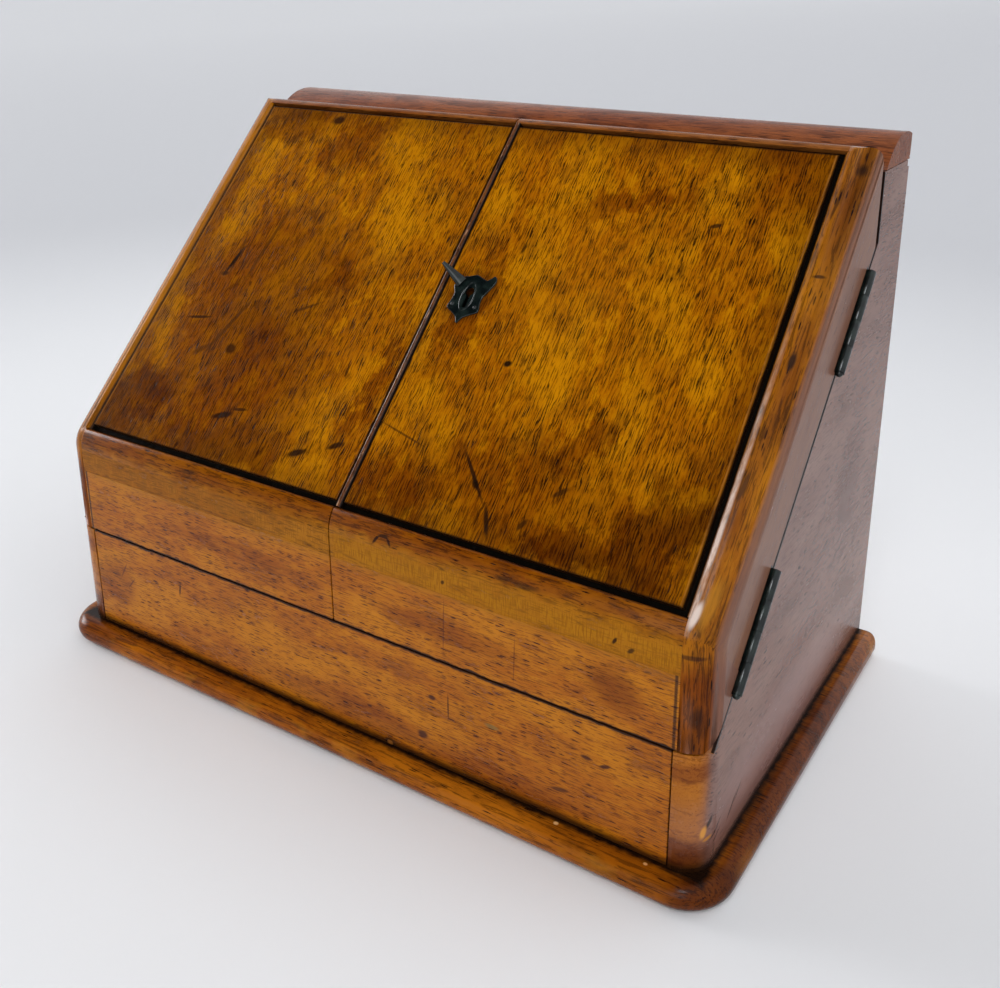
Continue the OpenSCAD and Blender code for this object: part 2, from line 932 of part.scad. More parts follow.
// Rail with the rounded top edge and a ledge behind the panel
module door_top_rail(side) {
  color(wood_red)
    placed()
      on_side(side)
        difference() {
          across(inner_x(side), cheek_x)
            intersection() {
              door_skin_2d();
              union() {
                slope_strip_2d(rail_s, rail_s + 2 * top_len, -cut, 2 * panel_t);
                slope_strip_2d(rail_s - tongue_len, rail_s + top_len, tongue_d, panel_t + frame_t);
                slope_strip_2d(rail_s - top_ledge, rail_s + top_len, panel_t, panel_t + frame_t);
              }
            }
          if (side < 0)
            at_slide_screws()
              screw_shape(screw_head_r, screw_shank_r, screw_head_h, screw_len, joint_fit);
        }
}

// Raised panel with its tongue under the groove
module panel_blank(side, from_x) {
  on_slope() {
    block([from_x, frame_s + tongue_len, -panel_t], [cheek_x, rail_s - tongue_len, -quirk_d]);
    block([from_x, frame_s, -tongue_d], [cheek_x, rail_s, -quirk_d]);
    block([from_x, panel_s, -tongue_d], [cheek_x - panel_in, panel_end, 0]);
  }
}

// Plates of the lock, the case behind them and the bolt
plate_t = 1.4;
plate_over = 6;
lock_w = 32;
lock_sink = 6;
bolt_t = 3.6;
bolt_w = 11;
bolt_depth = 12.4;
plate_face_x = meet_x + meet_gap / 2;

module door_panel(side) {
  color(wood)
    placed()
      on_side(side)
        difference() {
          panel_blank(side, inner_x(side));
          if (side > 0)
            right_panel_cuts();
          else
            left_panel_cuts();
        }
}

// Bead rebate, keyhole and lock recess of the right panel
module right_panel_cuts() {
  on_slope() {
    block([plate_face_x - cut, frame_s - cut, -bead_w], [plate_face_x + bead_w, rail_s + cut, cut]);
    translate([key_x, key_s, -panel_t - cut])
      keyhole(panel_t + 2 * cut, key_r);
    lock_recess(joint_fit);
    at_escutcheon_pins()
      cylinder(h = 2 * pin_hole_len, r = nail_r + joint_fit, center = true);
    at_lock_screws()
      screw_shape(screw_head_r, screw_shank_r, screw_head_h, screw_len, joint_fit);
  }
}

// Keyhole: round end above a straight slot
key_slot_w = 2.2;
key_slot_len = 8.5;
module keyhole(height, r) {
  cylinder(h = height, r = r);
  translate([-key_slot_w / 2, -key_slot_len, 0])
    cube([key_slot_w, key_slot_len, height]);
}

// Outline of the lock case and of its two plates
module lock_recess(grow) {
  block([plate_face_x - cut, key_s - lock_len / 2 - grow, -panel_t - cut],
        [plate_face_x + lock_w + grow, key_s + lock_len / 2 + grow, -panel_t + lock_sink + grow]);
  block([plate_face_x - cut, key_s - lock_len / 2 - plate_over - grow, -panel_t - cut],
        [plate_face_x + plate_t + grow, key_s + lock_len / 2 + plate_over + grow,
         -panel_t + lock_sink + grow]);
}

// Lock: hollow case with a plate along the meeting edge
lock_wall = 1.2;
module lock_case() {
  z0 = -panel_t + lock_sink - lock_h;
  z1 = -panel_t + lock_sink;
  color(brass)
    placed()
      on_slope()
        difference() {
          union() {
            block([plate_face_x, key_s - lock_len / 2, z0], [plate_face_x + lock_w, key_s + lock_len / 2, z1]);
            block([plate_face_x, key_s - lock_len / 2 - plate_over, z0],
                  [plate_face_x + plate_t, key_s + lock_len / 2 + plate_over, z1]);
            // ears of the back plate
            for (e = [-1, 1])
              translate([0, key_s, 0])
                mirror([0, e < 0 ? 1 : 0, 0])
                  block([plate_face_x + plate_t, lock_len / 2 - cut, -panel_t - plate_t],
                        [plate_face_x + lock_w, lock_len / 2 + 2 * plate_over, -panel_t]);
          }
          block([plate_face_x + plate_t, key_s - lock_len / 2 + lock_wall, z0 + lock_wall],
                [plate_face_x + lock_w - lock_wall, key_s + lock_len / 2 - lock_wall, z1 - lock_wall]);
          translate([key_x, key_s, -panel_t])
            keyhole(panel_t, key_r + slide_fit);
          block([plate_face_x - cut, key_s - bolt_w / 2 - slide_fit, -bolt_depth - bolt_t / 2 - slide_fit],
                [plate_face_x + 2 * plate_t, key_s + bolt_w / 2 + slide_fit,
                 -bolt_depth + bolt_t / 2 + slide_fit]);
          at_lock_screws()
            screw_shape(screw_head_r, screw_shank_r, screw_head_h, screw_len, joint_fit);
        }
}

// Bolt with a rounded talon notch for the key
module lock_bolt() {
  bolt_len = 29;
  talon_r = 3;
  color(brass)
    placed()
      on_slope()
        difference() {
          block([plate_face_x, key_s - bolt_w / 2, -bolt_depth - bolt_t / 2],
                [plate_face_x + bolt_len, key_s + bolt_w / 2, -bolt_depth + bolt_t / 2]);
          translate([key_x, key_s - bolt_w / 2, -bolt_depth - bolt_t])
            cylinder(h = 2 * bolt_t, r = talon_r);
          // room for the key's round stem over the whole travel
          for (x = [key_x, key_x + lock_throw])
            translate([x, key_s, -bolt_depth - bolt_t])
              cylinder(h = 2 * bolt_t, r = key_r + pass_fit);
          block([key_x, key_s - key_r - pass_fit, -bolt_depth - bolt_t],
                [key_x + lock_throw, key_s + key_r + pass_fit, -bolt_depth + bolt_t]);
        }
}

module at_lock_screws() {
  for (e = [-1, 1])
    for (x = [plate_face_x + lock_w / 4, plate_face_x + lock_w * 3 / 4])
      translate([x, key_s + e * (lock_len / 2 + plate_over), -panel_t - plate_t])
        rotate([180, 0, 0])
          children();
}

module lock_screws() {
  color(brass)
    placed()
      on_slope()
        at_lock_screws()
          slotted_screw(screw_head_r, screw_shank_r, screw_head_h, screw_len, screw_slot);
}

// Shield outline with two horns: half of it, from the foot up
esc_half = [[0, -17], [1.9, -13.7], [5.8, -11.3], [8.7, -9.4], [7.9, -5], [7.9, -1.7], [9.9, 2.5],
            [11.5, 7.1], [9.7, 10], [6.7, 7.2], [3.8, 7.9], [0, 9.2]];
esc_t = 0.9;
esc_horn_len = 14;
esc_horn_up = 38;
nail_r = 0.6;
pin_hole_len = 6;

// Places of the escutcheon pins
module at_escutcheon_pins() {
  for (p = [[6.2, -7.6], [-6.2, -7.6]])
    translate([key_x + p[0], key_s + p[1], 0])
      children();
}

// Plate whose left horn has been bent up off the wood
module escutcheon() {
  horn_cut = 6.2;
  color(metal_black)
    placed()
      on_slope()
        difference() {
          translate([key_x, key_s, 0]) {
            linear_extrude(esc_t)
              difference() {
                union() {
                  polygon(esc_half);
                  mirror([1, 0])
                    polygon(esc_half);
                }
                translate([-horn_cut - big, horn_cut - 1])
                  square(big);
              }
            // the bent horn, a long taper
            translate([-horn_cut - 1.4, 4.6, 0])
              rotate([0, 0, 152])
                rotate([0, -esc_horn_up, 0])
                  linear_extrude(esc_t)
                    polygon([[-1.2, -2.6], [0, -2.6], [esc_horn_len * 0.7, -1.2], [esc_horn_len, 0],
                             [esc_horn_len * 0.7, 0.9], [0, 2.4], [-1.2, 2.4]]);
          }
          translate([key_x, key_s, -cut])
            keyhole(esc_t + 2 * cut, key_r);
          at_escutcheon_pins()
            cylinder(h = 2 * pin_hole_len, r = nail_r + joint_fit, center = true);
          // nothing of the horn reaches into the wood
          translate([0, 0, -big])
            cube([big, 2 * big, 2 * big], center = true);
        }
}

module escutcheon_pins() {
  color(metal_black)
    placed()
      on_slope()
        at_escutcheon_pins() {
          translate([0, 0, -pin_hole_len / 2])
            cylinder(h = pin_hole_len / 2 + esc_t, r = nail_r);
          translate([0, 0, esc_t])
            intersection() {
              translate([0, 0, -nail_r])
                sphere(r = 2 * nail_r);
              cylinder(h = 2 * nail_r, r = 2 * nail_r);
            }
        }
}

// Strike: plate in the edge of the left panel, with the hole for the bolt
strike_len = 34;
strike_w = 8;
module left_panel_cuts() {
  x0 = inner_x(-1);
  on_slope() {
    block([x0 - cut, key_s - strike_len / 2 - joint_fit, -panel_t - cut],
          [x0 + plate_t + joint_fit, key_s + strike_len / 2 + joint_fit, -panel_t + strike_w + joint_fit]);
    block([x0, key_s - bolt_w / 2 - pass_fit, -bolt_depth - bolt_t / 2 - pass_fit],
          [x0 + lock_throw + 2 * cut, key_s + bolt_w / 2 + pass_fit, -bolt_depth + bolt_t / 2 + pass_fit]);
  }
}

module strike_plate() {
  x0 = inner_x(-1);
  color(brass)
    placed()
      on_side(-1)
        on_slope()
          difference() {
            block([x0, key_s - strike_len / 2, -panel_t], [x0 + plate_t, key_s + strike_len / 2, -panel_t + strike_w]);
            block([x0 - cut, key_s - bolt_w / 2 - pass_fit, -bolt_depth - bolt_t / 2 - pass_fit],
                  [x0 + plate_t + cut, key_s + bolt_w / 2 + pass_fit, -bolt_depth + bolt_t / 2 + pass_fit]);
          }
}

// Half-round bead in the rebate of the right panel
module door_bead() {
  r = bead_w / 2 - joint_fit;
  color(wood)
    placed()
      on_slope()
        translate([plate_face_x + bead_w / 2 - joint_fit, frame_s, bead_up - r])
          rotate([-90, 0, 0])
            linear_extrude(rail_s - frame_s) {
              circle(r);
              translate([-r, 0])
                square([2 * r, bead_w + bead_up - r]);
            }
}

// Slide bolt on the inner face of the left door's top rail
slide_x = 20;
slide_r = 2;
slide_len = 29;
slide_plate_t = 1.2;
slide_plate_w = 16;
slide_plate_len = 24;
slide_gap = 0.3;
slide_depth = panel_t + frame_t + slide_plate_t + slide_gap + slide_r;
slide_s = rail_s - top_ledge + 2;
slide_tip_s = slide_s + slide_plate_len + 1;
loop_t = 1.6;
loop_len = 4;

// Screw places of the slide bolt plate, seen from inside the door
module at_slide_screws() {
  on_slope()
    for (e = [0.14, 0.86])
      for (x = [-0.36, 0.36])
        translate([slide_x + x * slide_plate_w, slide_s + e * slide_plate_len, -panel_t - frame_t - slide_plate_t])
          rotate([180, 0, 0])
            children();
}

module slide_bolt_plate() {
  color(brass)
    placed()
      on_side(-1)
        difference() {
          on_slope() {
            block([slide_x - slide_plate_w / 2, slide_s, -panel_t - frame_t - slide_plate_t],
                  [slide_x + slide_plate_w / 2, slide_s + slide_plate_len, -panel_t - frame_t]);
            for (s = [slide_s, slide_s + slide_plate_len - loop_len])
              difference() {
                block([slide_x - slide_r - loop_t, s, -slide_depth - slide_r - loop_t],
                      [slide_x + slide_r + loop_t, s + loop_len, -panel_t - frame_t]);
                translate([slide_x, s - cut, -slide_depth])
                  rotate([-90, 0, 0])
                    cylinder(h = loop_len + 2 * cut, r = slide_r + slide_fit);
              }
          }
          at_slide_screws()
            screw_shape(screw_head_r, screw_shank_r, screw_head_h, screw_len, joint_fit);
        }
}

// Round bolt with a small knob between the two loops
module slide_bolt() {
  knob_r = 1.6;
  knob_h = 6;
  color(brass)
    placed()
      on_side(-1)
        on_slope()
          translate([slide_x, slide_tip_s - slide_len, -slide_depth]) {
            rotate([-90, 0, 0])
              cylinder(h = slide_len, r = slide_r);
            translate([0, slide_len - slide_plate_len - 1 + loop_len + 1.5 * knob_r, -knob_h]) {
              cylinder(h = knob_h, r = knob_r);
              sphere(r = 1.25 * knob_r);
            }
          }
}

module slide_bolt_screws() {
  color(brass)
    placed()
      on_side(-1)
        at_slide_screws()
          slotted_screw(screw_head_r, screw_shank_r, screw_head_h, screw_len, screw_slot);
}

module case_hinge_screws() {
  color(metal_black)
    placed()
      for (side = [-1, 1])
        on_side(side)
          at_door_hinges()
            leaf_screws(hinge_len, leaf_w, leaf_half, barrel_r);
}

module door_hinge_screws(side) {
  color(metal_black)
    placed()
      on_side(side)
        at_door_hinges()
          turned_over()
            leaf_screws(hinge_len, leaf_w, leaf_half, barrel_r);
}

// Lid hinges: the barrel axis runs across, at the back edge of the case
module at_lid_hinges() {
  for (x = [-lid_hinge_x, lid_hinge_x])
    translate([x, lid_axis_y, lid_z + lid_gap / 2])
      rotate([0, 0, 90])
        children();
}

lid_knuckles = 5;

module lid_hinge_case_leaves() {
  color(brass)
    placed()
      at_lid_hinges()
        leaf(lid_hinge_len, lid_knuckles, 0, lid_leaf_w, lid_leaf_t, lid_gap / 2, lid_barrel_r,
             lid_pin_r + slide_fit / 2);
}

module lid_hinge_lid_leaves() {
  color(brass)
    placed()
      at_lid_hinges()
        turned_over()
          leaf(lid_hinge_len, lid_knuckles, 1, lid_leaf_w, lid_leaf_t, lid_gap / 2, lid_barrel_r,
               lid_pin_r + slide_fit / 2);
}

module lid_hinge_pins() {
  color(brass)
    placed()
      at_lid_hinges()
        rotate([-90, 0, 0])
          translate([0, 0, -lid_hinge_len / 2])
            cylinder(h = lid_hinge_len, r = lid_pin_r);
}

module lid_hinge_case_screws() {
  color(brass)
    placed()
      at_lid_hinges()
        leaf_screws(lid_hinge_len, lid_leaf_w, lid_gap / 2, lid_barrel_r);
}

module lid_hinge_lid_screws() {
  color(brass)
    placed()
      at_lid_hinges()
        turned_over()
          leaf_screws(lid_hinge_len, lid_leaf_w, lid_gap / 2, lid_barrel_r);
}

// Lid: one long curve from the front edge to the back
module lid_board() {
  crown = lid_z + lid_t;
  mid_y = case_depth - lid_crown;
  color(wood_red)
    placed()
      difference() {
        across(-half_w, half_w)
          difference() {
            intersection() {
              translate([lid_front, lid_z + lid_gap])
                square([case_depth - lid_front, lid_t]);
              translate([mid_y, crown - lid_r])
                circle(lid_r);
            }
            // lower back corner, round about the hinge axis
            difference() {
              translate([lid_axis_y, lid_z])
                square([lid_barrel_r + 1, lid_barrel_r]);
              translate([lid_axis_y, lid_z + lid_gap / 2])
                circle(lid_barrel_r);
            }
          }
        at_lid_hinges()
          turned_over()
            leaf_pocket(lid_hinge_len, lid_leaf_w, lid_leaf_t, lid_gap / 2, lid_barrel_r);
      }
}

// Shape of the dovetails: depth against height, widest at the hidden end
tail_slope = 1.5;
// Height of the drawer bottom above the plinth
bottom_up = 5;
// Clearance under the drawer sides
side_up = 0.3;
// How far the groove of the bottom lies behind the middle of the drawer front
groove_set = 1;
// How far the drawer back ends below the drawer sides
back_low = 3;
bottom_z = plinth_t + bottom_up;
drawer_x = inner_w - drawer_gap;
side_z = plinth_t + side_up;
groove_y = front_t / 2 + groove_set;
module tail_2d(i, grow) {
  pitch = drawer_side_h / tail_count;
  zc = side_z + (i + 0.5) * pitch;
  half = pitch * 0.28 + grow;
  polygon([[front_t + cut, zc - half], [lap_t - grow, zc - half - tail_slope],
           [lap_t - grow, zc + half + tail_slope], [front_t + cut, zc + half]]);
}

module drawer_front() {
  color(wood)
    placed()
      difference() {
        block([-drawer_x, 0, plinth_t + drawer_gap], [drawer_x, front_t, drawer_top]);
        for (side = [-1, 1])
          on_side(side)
            for (i = [0:tail_count - 1])
              across(drawer_x - drawer_side_t - joint_fit, drawer_x + cut)
                tail_2d(i, joint_fit);
        // groove of the bottom
        block([-drawer_x + drawer_side_t / 2, groove_y, bottom_z - joint_fit],
              [drawer_x - drawer_side_t / 2, front_t + cut, bottom_z + bottom_t + joint_fit]);
      }
}

module drawer_side(side) {
  x0 = drawer_x - drawer_side_t;
  color(wood_pale)
    placed()
      on_side(side)
        difference() {
          union() {
            block([x0, front_t, side_z], [drawer_x, drawer_len, side_z + drawer_side_h]);
            for (i = [0:tail_count - 1])
              across(x0, drawer_x)
                tail_2d(i, 0);
          }
          block([x0 - cut, groove_y, bottom_z - joint_fit],
                [x0 + drawer_side_t / 2, drawer_len + cut, bottom_z + bottom_t + joint_fit]);
          block([x0 - cut, drawer_len - 2 * drawer_side_t - joint_fit, bottom_z + bottom_t],
                [x0 + drawer_side_t / 3, drawer_len - drawer_side_t + joint_fit,
                 side_z + drawer_side_h + cut]);
        }
}

module drawer_back() {
  x = drawer_x - drawer_side_t + drawer_side_t / 3 - joint_fit;
  color(wood_pale)
    placed()
      block([-x, drawer_len - 2 * drawer_side_t, bottom_z + bottom_t + joint_fit],
            [x, drawer_len - drawer_side_t, side_z + drawer_side_h - back_low]);
}

module drawer_bottom() {
  x = drawer_x - drawer_side_t / 2 - joint_fit;
  color(wood_pale)
    placed()
      block([-x, groove_y + joint_fit, bottom_z], [x, drawer_len, bottom_z + bottom_t]);
}

plinth();
side_board(-1);  // side_board_left
side_board(1);  // side_board_right
back_board();
cabinet_floor();
rack_liner(-1);  // rack_liner_left
rack_liner(1);  // rack_liner_right
rack_board(0);  // rack_board_front
rack_board(1);  // rack_board_middle
rack_board(2);  // rack_board_rear
partition(0, 0);  // card_divider
partition(1, 0);  // envelope_divider
pen_trough();
pen_compartment_front();
pen_compartment_floor();
pen_rests();
drawer_stops();
plinth_screws();
door_cheek(-1);  // door_cheek_left
door_cheek(1);  // door_cheek_right
door_front_board(-1);  // door_front_board_left
door_front_board(1);  // door_front_board_right
door_bottom_rail(-1);  // door_bottom_rail_left
door_bottom_rail(1);  // door_bottom_rail_right
door_panel(-1);  // door_panel_left
door_panel(1);  // door_panel_right
door_top_rail(-1);  // door_top_rail_left
door_top_rail(1);  // door_top_rail_right
door_bead();
case_leaves(-1);  // case_hinge_leaves_left
case_leaves(1);  // case_hinge_leaves_right
door_leaves(-1);  // door_hinge_leaves_left
door_leaves(1);  // door_hinge_leaves_right
pins(-1);  // hinge_pins_left
pins(1);  // hinge_pins_right
case_hinge_screws();
door_hinge_screws(-1);  // door_hinge_screws_left
door_hinge_screws(1);  // door_hinge_screws_right
lock_case();
lock_bolt();
lock_screws();
escutcheon();
escutcheon_pins();
strike_plate();
slide_bolt_plate();
slide_bolt();
slide_bolt_screws();
lid_board();
lid_hinge_lid_leaves();
lid_hinge_case_leaves();
lid_hinge_pins();
lid_hinge_case_screws();
lid_hinge_lid_screws();
drawer_front();
drawer_side(-1);  // drawer_side_left
drawer_side(1);  // drawer_side_right
drawer_back();
drawer_bottom();
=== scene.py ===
import math

import bpy
from mathutils import Matrix, Vector


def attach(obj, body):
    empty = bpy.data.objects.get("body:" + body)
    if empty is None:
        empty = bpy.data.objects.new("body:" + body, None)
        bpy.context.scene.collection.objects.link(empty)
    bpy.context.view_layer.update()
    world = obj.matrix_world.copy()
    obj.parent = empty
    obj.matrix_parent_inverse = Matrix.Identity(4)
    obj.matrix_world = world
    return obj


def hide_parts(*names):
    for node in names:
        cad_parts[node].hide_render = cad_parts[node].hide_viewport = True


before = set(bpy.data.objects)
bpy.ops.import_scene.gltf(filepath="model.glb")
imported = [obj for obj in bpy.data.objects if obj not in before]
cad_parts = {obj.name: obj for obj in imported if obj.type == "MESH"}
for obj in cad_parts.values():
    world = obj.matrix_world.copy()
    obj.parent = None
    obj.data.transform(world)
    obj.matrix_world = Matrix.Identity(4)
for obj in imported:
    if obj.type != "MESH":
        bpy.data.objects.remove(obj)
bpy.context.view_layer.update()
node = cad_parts

# Camera: a hand-held view from the front right and above, a little over lid height.
# Its place, turn and lens are those at which the cabinet's corners fall where the photograph has them.
bpy.ops.object.select_all(action="DESELECT")
bpy.ops.object.camera_add()
camera = bpy.context.object
camera.name = "camera"
camera.matrix_world = Matrix((
    (0.847352, -0.166843, 0.504141, 0.30787),
    (0.531028, 0.262337, -0.805722, -0.43186),
    (0.002174, 0.950443, 0.310891, 0.34628),
    (0, 0, 0, 1)))
camera.data.sensor_width = 36
camera.data.lens = 40.876
camera.data.shift_x = -0.02431
camera.data.shift_y = -0.155843
camera.data.clip_start = 0.02
camera.data.clip_end = 60
bpy.context.scene.camera = camera
bpy.context.scene.view_settings.view_transform = "Standard"


# Table: a wide pale sheet of paper under soft light, with painted shade that greys it a little far off and on
# the right.
# It is not part of the object, and reaches far beyond the picture.
def linear(text):
    """Linear colour of an sRGB hex value."""
    parts = [int(text[i:i + 2], 16) / 255 for i in (1, 3, 5)]
    return tuple(p / 12.92 if p <= 0.04045 else ((p + 0.055) / 1.055) ** 2.4 for p in parts) + (1,)


def add(tree, kind, settings=None, links=None):
    """Adds one shader node; settings are its properties or sockets, links go into its sockets."""
    made = tree.nodes.new("ShaderNode" + kind)
    for key, value in (settings or {}).items():
        if isinstance(key, str) and hasattr(made, key):
            setattr(made, key, value)
        else:
            made.inputs[key].default_value = value
    for key, source in (links or {}).items():
        tree.links.new(getattr(source, "outputs", [source])[0], made.inputs[key])
    return made


bpy.ops.mesh.primitive_plane_add(size=60, location=(0, 0, 0))
table = bpy.context.object
table.name = "table"
paper = bpy.data.materials.new("pale_paper")
paper.use_nodes = True
tree = paper.node_tree
tree.nodes.clear()
place = add(tree, "TexCoord").outputs["Object"]
left = add(tree, "Mapping", {"Location": (0.14, 0, 0)}, {"Vector": place})
away = add(tree, "VectorMath", {"operation": "LENGTH"}, {0: left})
far_shade = add(tree, "MapRange", {"interpolation_type": "SMOOTHSTEP", "From Min": 0.25, "From Max": 1.15},
          {"Value": away.outputs["Value"]})
cloud = add(tree, "TexNoise", {"Scale": 1000 / 455, "Detail": 2}, {"Vector": place})
tint = add(tree, "MixRGB", {"Color1": linear("#E8EAEB"), "Color2": linear("#E6E8E9")}, {"Fac": cloud})
across = add(tree, "SeparateXYZ", links={"Vector": place}).outputs["X"]
across = add(tree, "MapRange", {"From Min": -4.5, "From Max": -0.7}, {"Value": across})
far_shaded_tint = add(tree, "MixRGB", {"Color1": linear("#CED0D2"), "Color2": linear("#C4C6C9")}, {"Fac": across})
tint = add(tree, "MixRGB", links={"Fac": far_shade, "Color1": tint, "Color2": far_shaded_tint})
shade = add(tree, "BsdfPrincipled", {"Roughness": 0.7, "Specular IOR Level": 0.1}, {"Base Color": tint})
add(tree, "OutputMaterial", links={"Surface": shade})
table.data.materials.append(paper)

# Light: the pale room with a bright window low on the left and a smaller one high in front, and a soft lamp
# behind the camera. The room is dark where the panels mirror it over the photographer.
world = bpy.data.worlds.new("room")
bpy.context.scene.world = world
world.use_nodes = True
tree = world.node_tree
tree.nodes.clear()
way = add(tree, "TexCoord")
masks = []
for aim, low, high in (((-0.5, -0.36, 0.787), 0.62, 0.95), ((-0.93, -0.06, 0.36), 0.962, 0.988),
                       ((0.15, -0.55, 0.82), 0.985, 0.995)):
    toward = add(tree, "VectorMath", {"operation": "DOT_PRODUCT", 1: aim}, {0: way.outputs["Generated"]})
    mask = add(tree, "MapRange", {"interpolation_type": "SMOOTHSTEP", "From Min": low, "From Max": high},
               {"Value": toward.outputs["Value"]})
    masks.append(mask)
dark_part, window, high_window = masks
room = add(tree, "MixRGB", {"Color1": linear("#E9E9EC"), "Color2": linear("#1C1C20")}, {"Fac": dark_part})
path = add(tree, "LightPath")
seen = add(tree, "MixRGB", {"Color2": linear("#D4D5D7")},
           {"Fac": path.outputs["Is Camera Ray"], "Color1": room})
power = add(tree, "Math", {"operation": "MULTIPLY_ADD", 1: 20, 2: 1.24}, {0: window})
power = add(tree, "Math", {"operation": "MULTIPLY_ADD", 1: 24}, {0: high_window, 2: power})
glow = add(tree, "Background", {}, {"Color": seen, "Strength": power})
add(tree, "OutputWorld", links={"Surface": glow})

bpy.ops.object.light_add(type="AREA", location=(0.5, -2.2, 0.8))
lamp = bpy.context.object
lamp.name = "soft_lamp"
lamp.data.shape = "RECTANGLE"
lamp.data.size, lamp.data.size_y = 1.2, 1.0
lamp.data.energy = 8
lamp.rotation_euler = (Vector((0, 0, 0.12)) - lamp.location).to_track_quat("-Z", "Y").to_euler()

# Side boards: one solid board each, the grain running from front to back, screwed to the plinth from below.
# Polished mahogany outside, orange on the worn front corner, a painted pale reflection low on the face, and
# dark wax with painted shade at the foot.
slope = math.radians(45.5)
bend_height, front_face = 0.11693, 0.099
outer_face, front_edge = 0.1788, -0.0935
door_depth, top_depth, top_start = 0.1137, 0.068, 0.23
plinth_top = 0.012


def near(tree, value, centre, inner, outer, most=1.0):
    """Mask that is full where a coordinate is within inner of centre, and gone at outer."""
    off = add(tree, "Math", {"operation": "SUBTRACT", 1: centre}, {0: value})
    off = add(tree, "Math", {"operation": "ABSOLUTE"}, {0: off})
    return add(tree, "MapRange", {"interpolation_type": "SMOOTHSTEP", "From Min": outer, "From Max": inner,
                                  "To Max": most}, {"Value": off})


def paint(tree, colour, tint, *masks, how="MIX"):
    """Lays a tint over a colour where all its masks are full."""
    mask = masks[0]
    for share in masks[1:]:
        mask = add(tree, "Math", {"operation": "MULTIPLY"}, {0: mask, 1: share})
    return add(tree, "MixRGB", {"blend_type": how, "Color2": linear(tint)}, {"Fac": mask, "Color1": colour})


def spots(tree, board, colour, marks, how="MIX", face=None):
    """Dents, stains and scratches as soft ellipses on a board face. Each mark is its place in millimetres,
    its turn in degrees, its half length and half width in millimetres, its tint and its strength. Where the
    depth of the outer face is given, the marks stay within 6 mm of it, and else they go right through."""
    deep = 1 if face is None else 0.005
    for u, v, turn, long, wide, tint, strength in marks:
        oval = add(tree, "Mapping", {"vector_type": "TEXTURE", "Location": (u / 1000, v / 1000, face or 0),
                                     "Rotation": (0, 0, math.radians(turn)),
                                     "Scale": (long / 1000, wide / 1000, deep)}, {"Vector": board})
        reach = add(tree, "VectorMath", {"operation": "LENGTH"}, {0: oval})
        mask = add(tree, "MapRange", {"interpolation_type": "SMOOTHSTEP", "From Min": 1.2, "From Max": 0.5,
                                      "To Max": strength}, {"Value": reach.outputs["Value"]})
        colour = paint(tree, colour, tint, mask, how=how)
    return colour


def per_metre(*sizes):
    """Scale of a pattern whose features have these sizes in millimetres along x, y and z."""
    return [1000 / size for size in sizes]


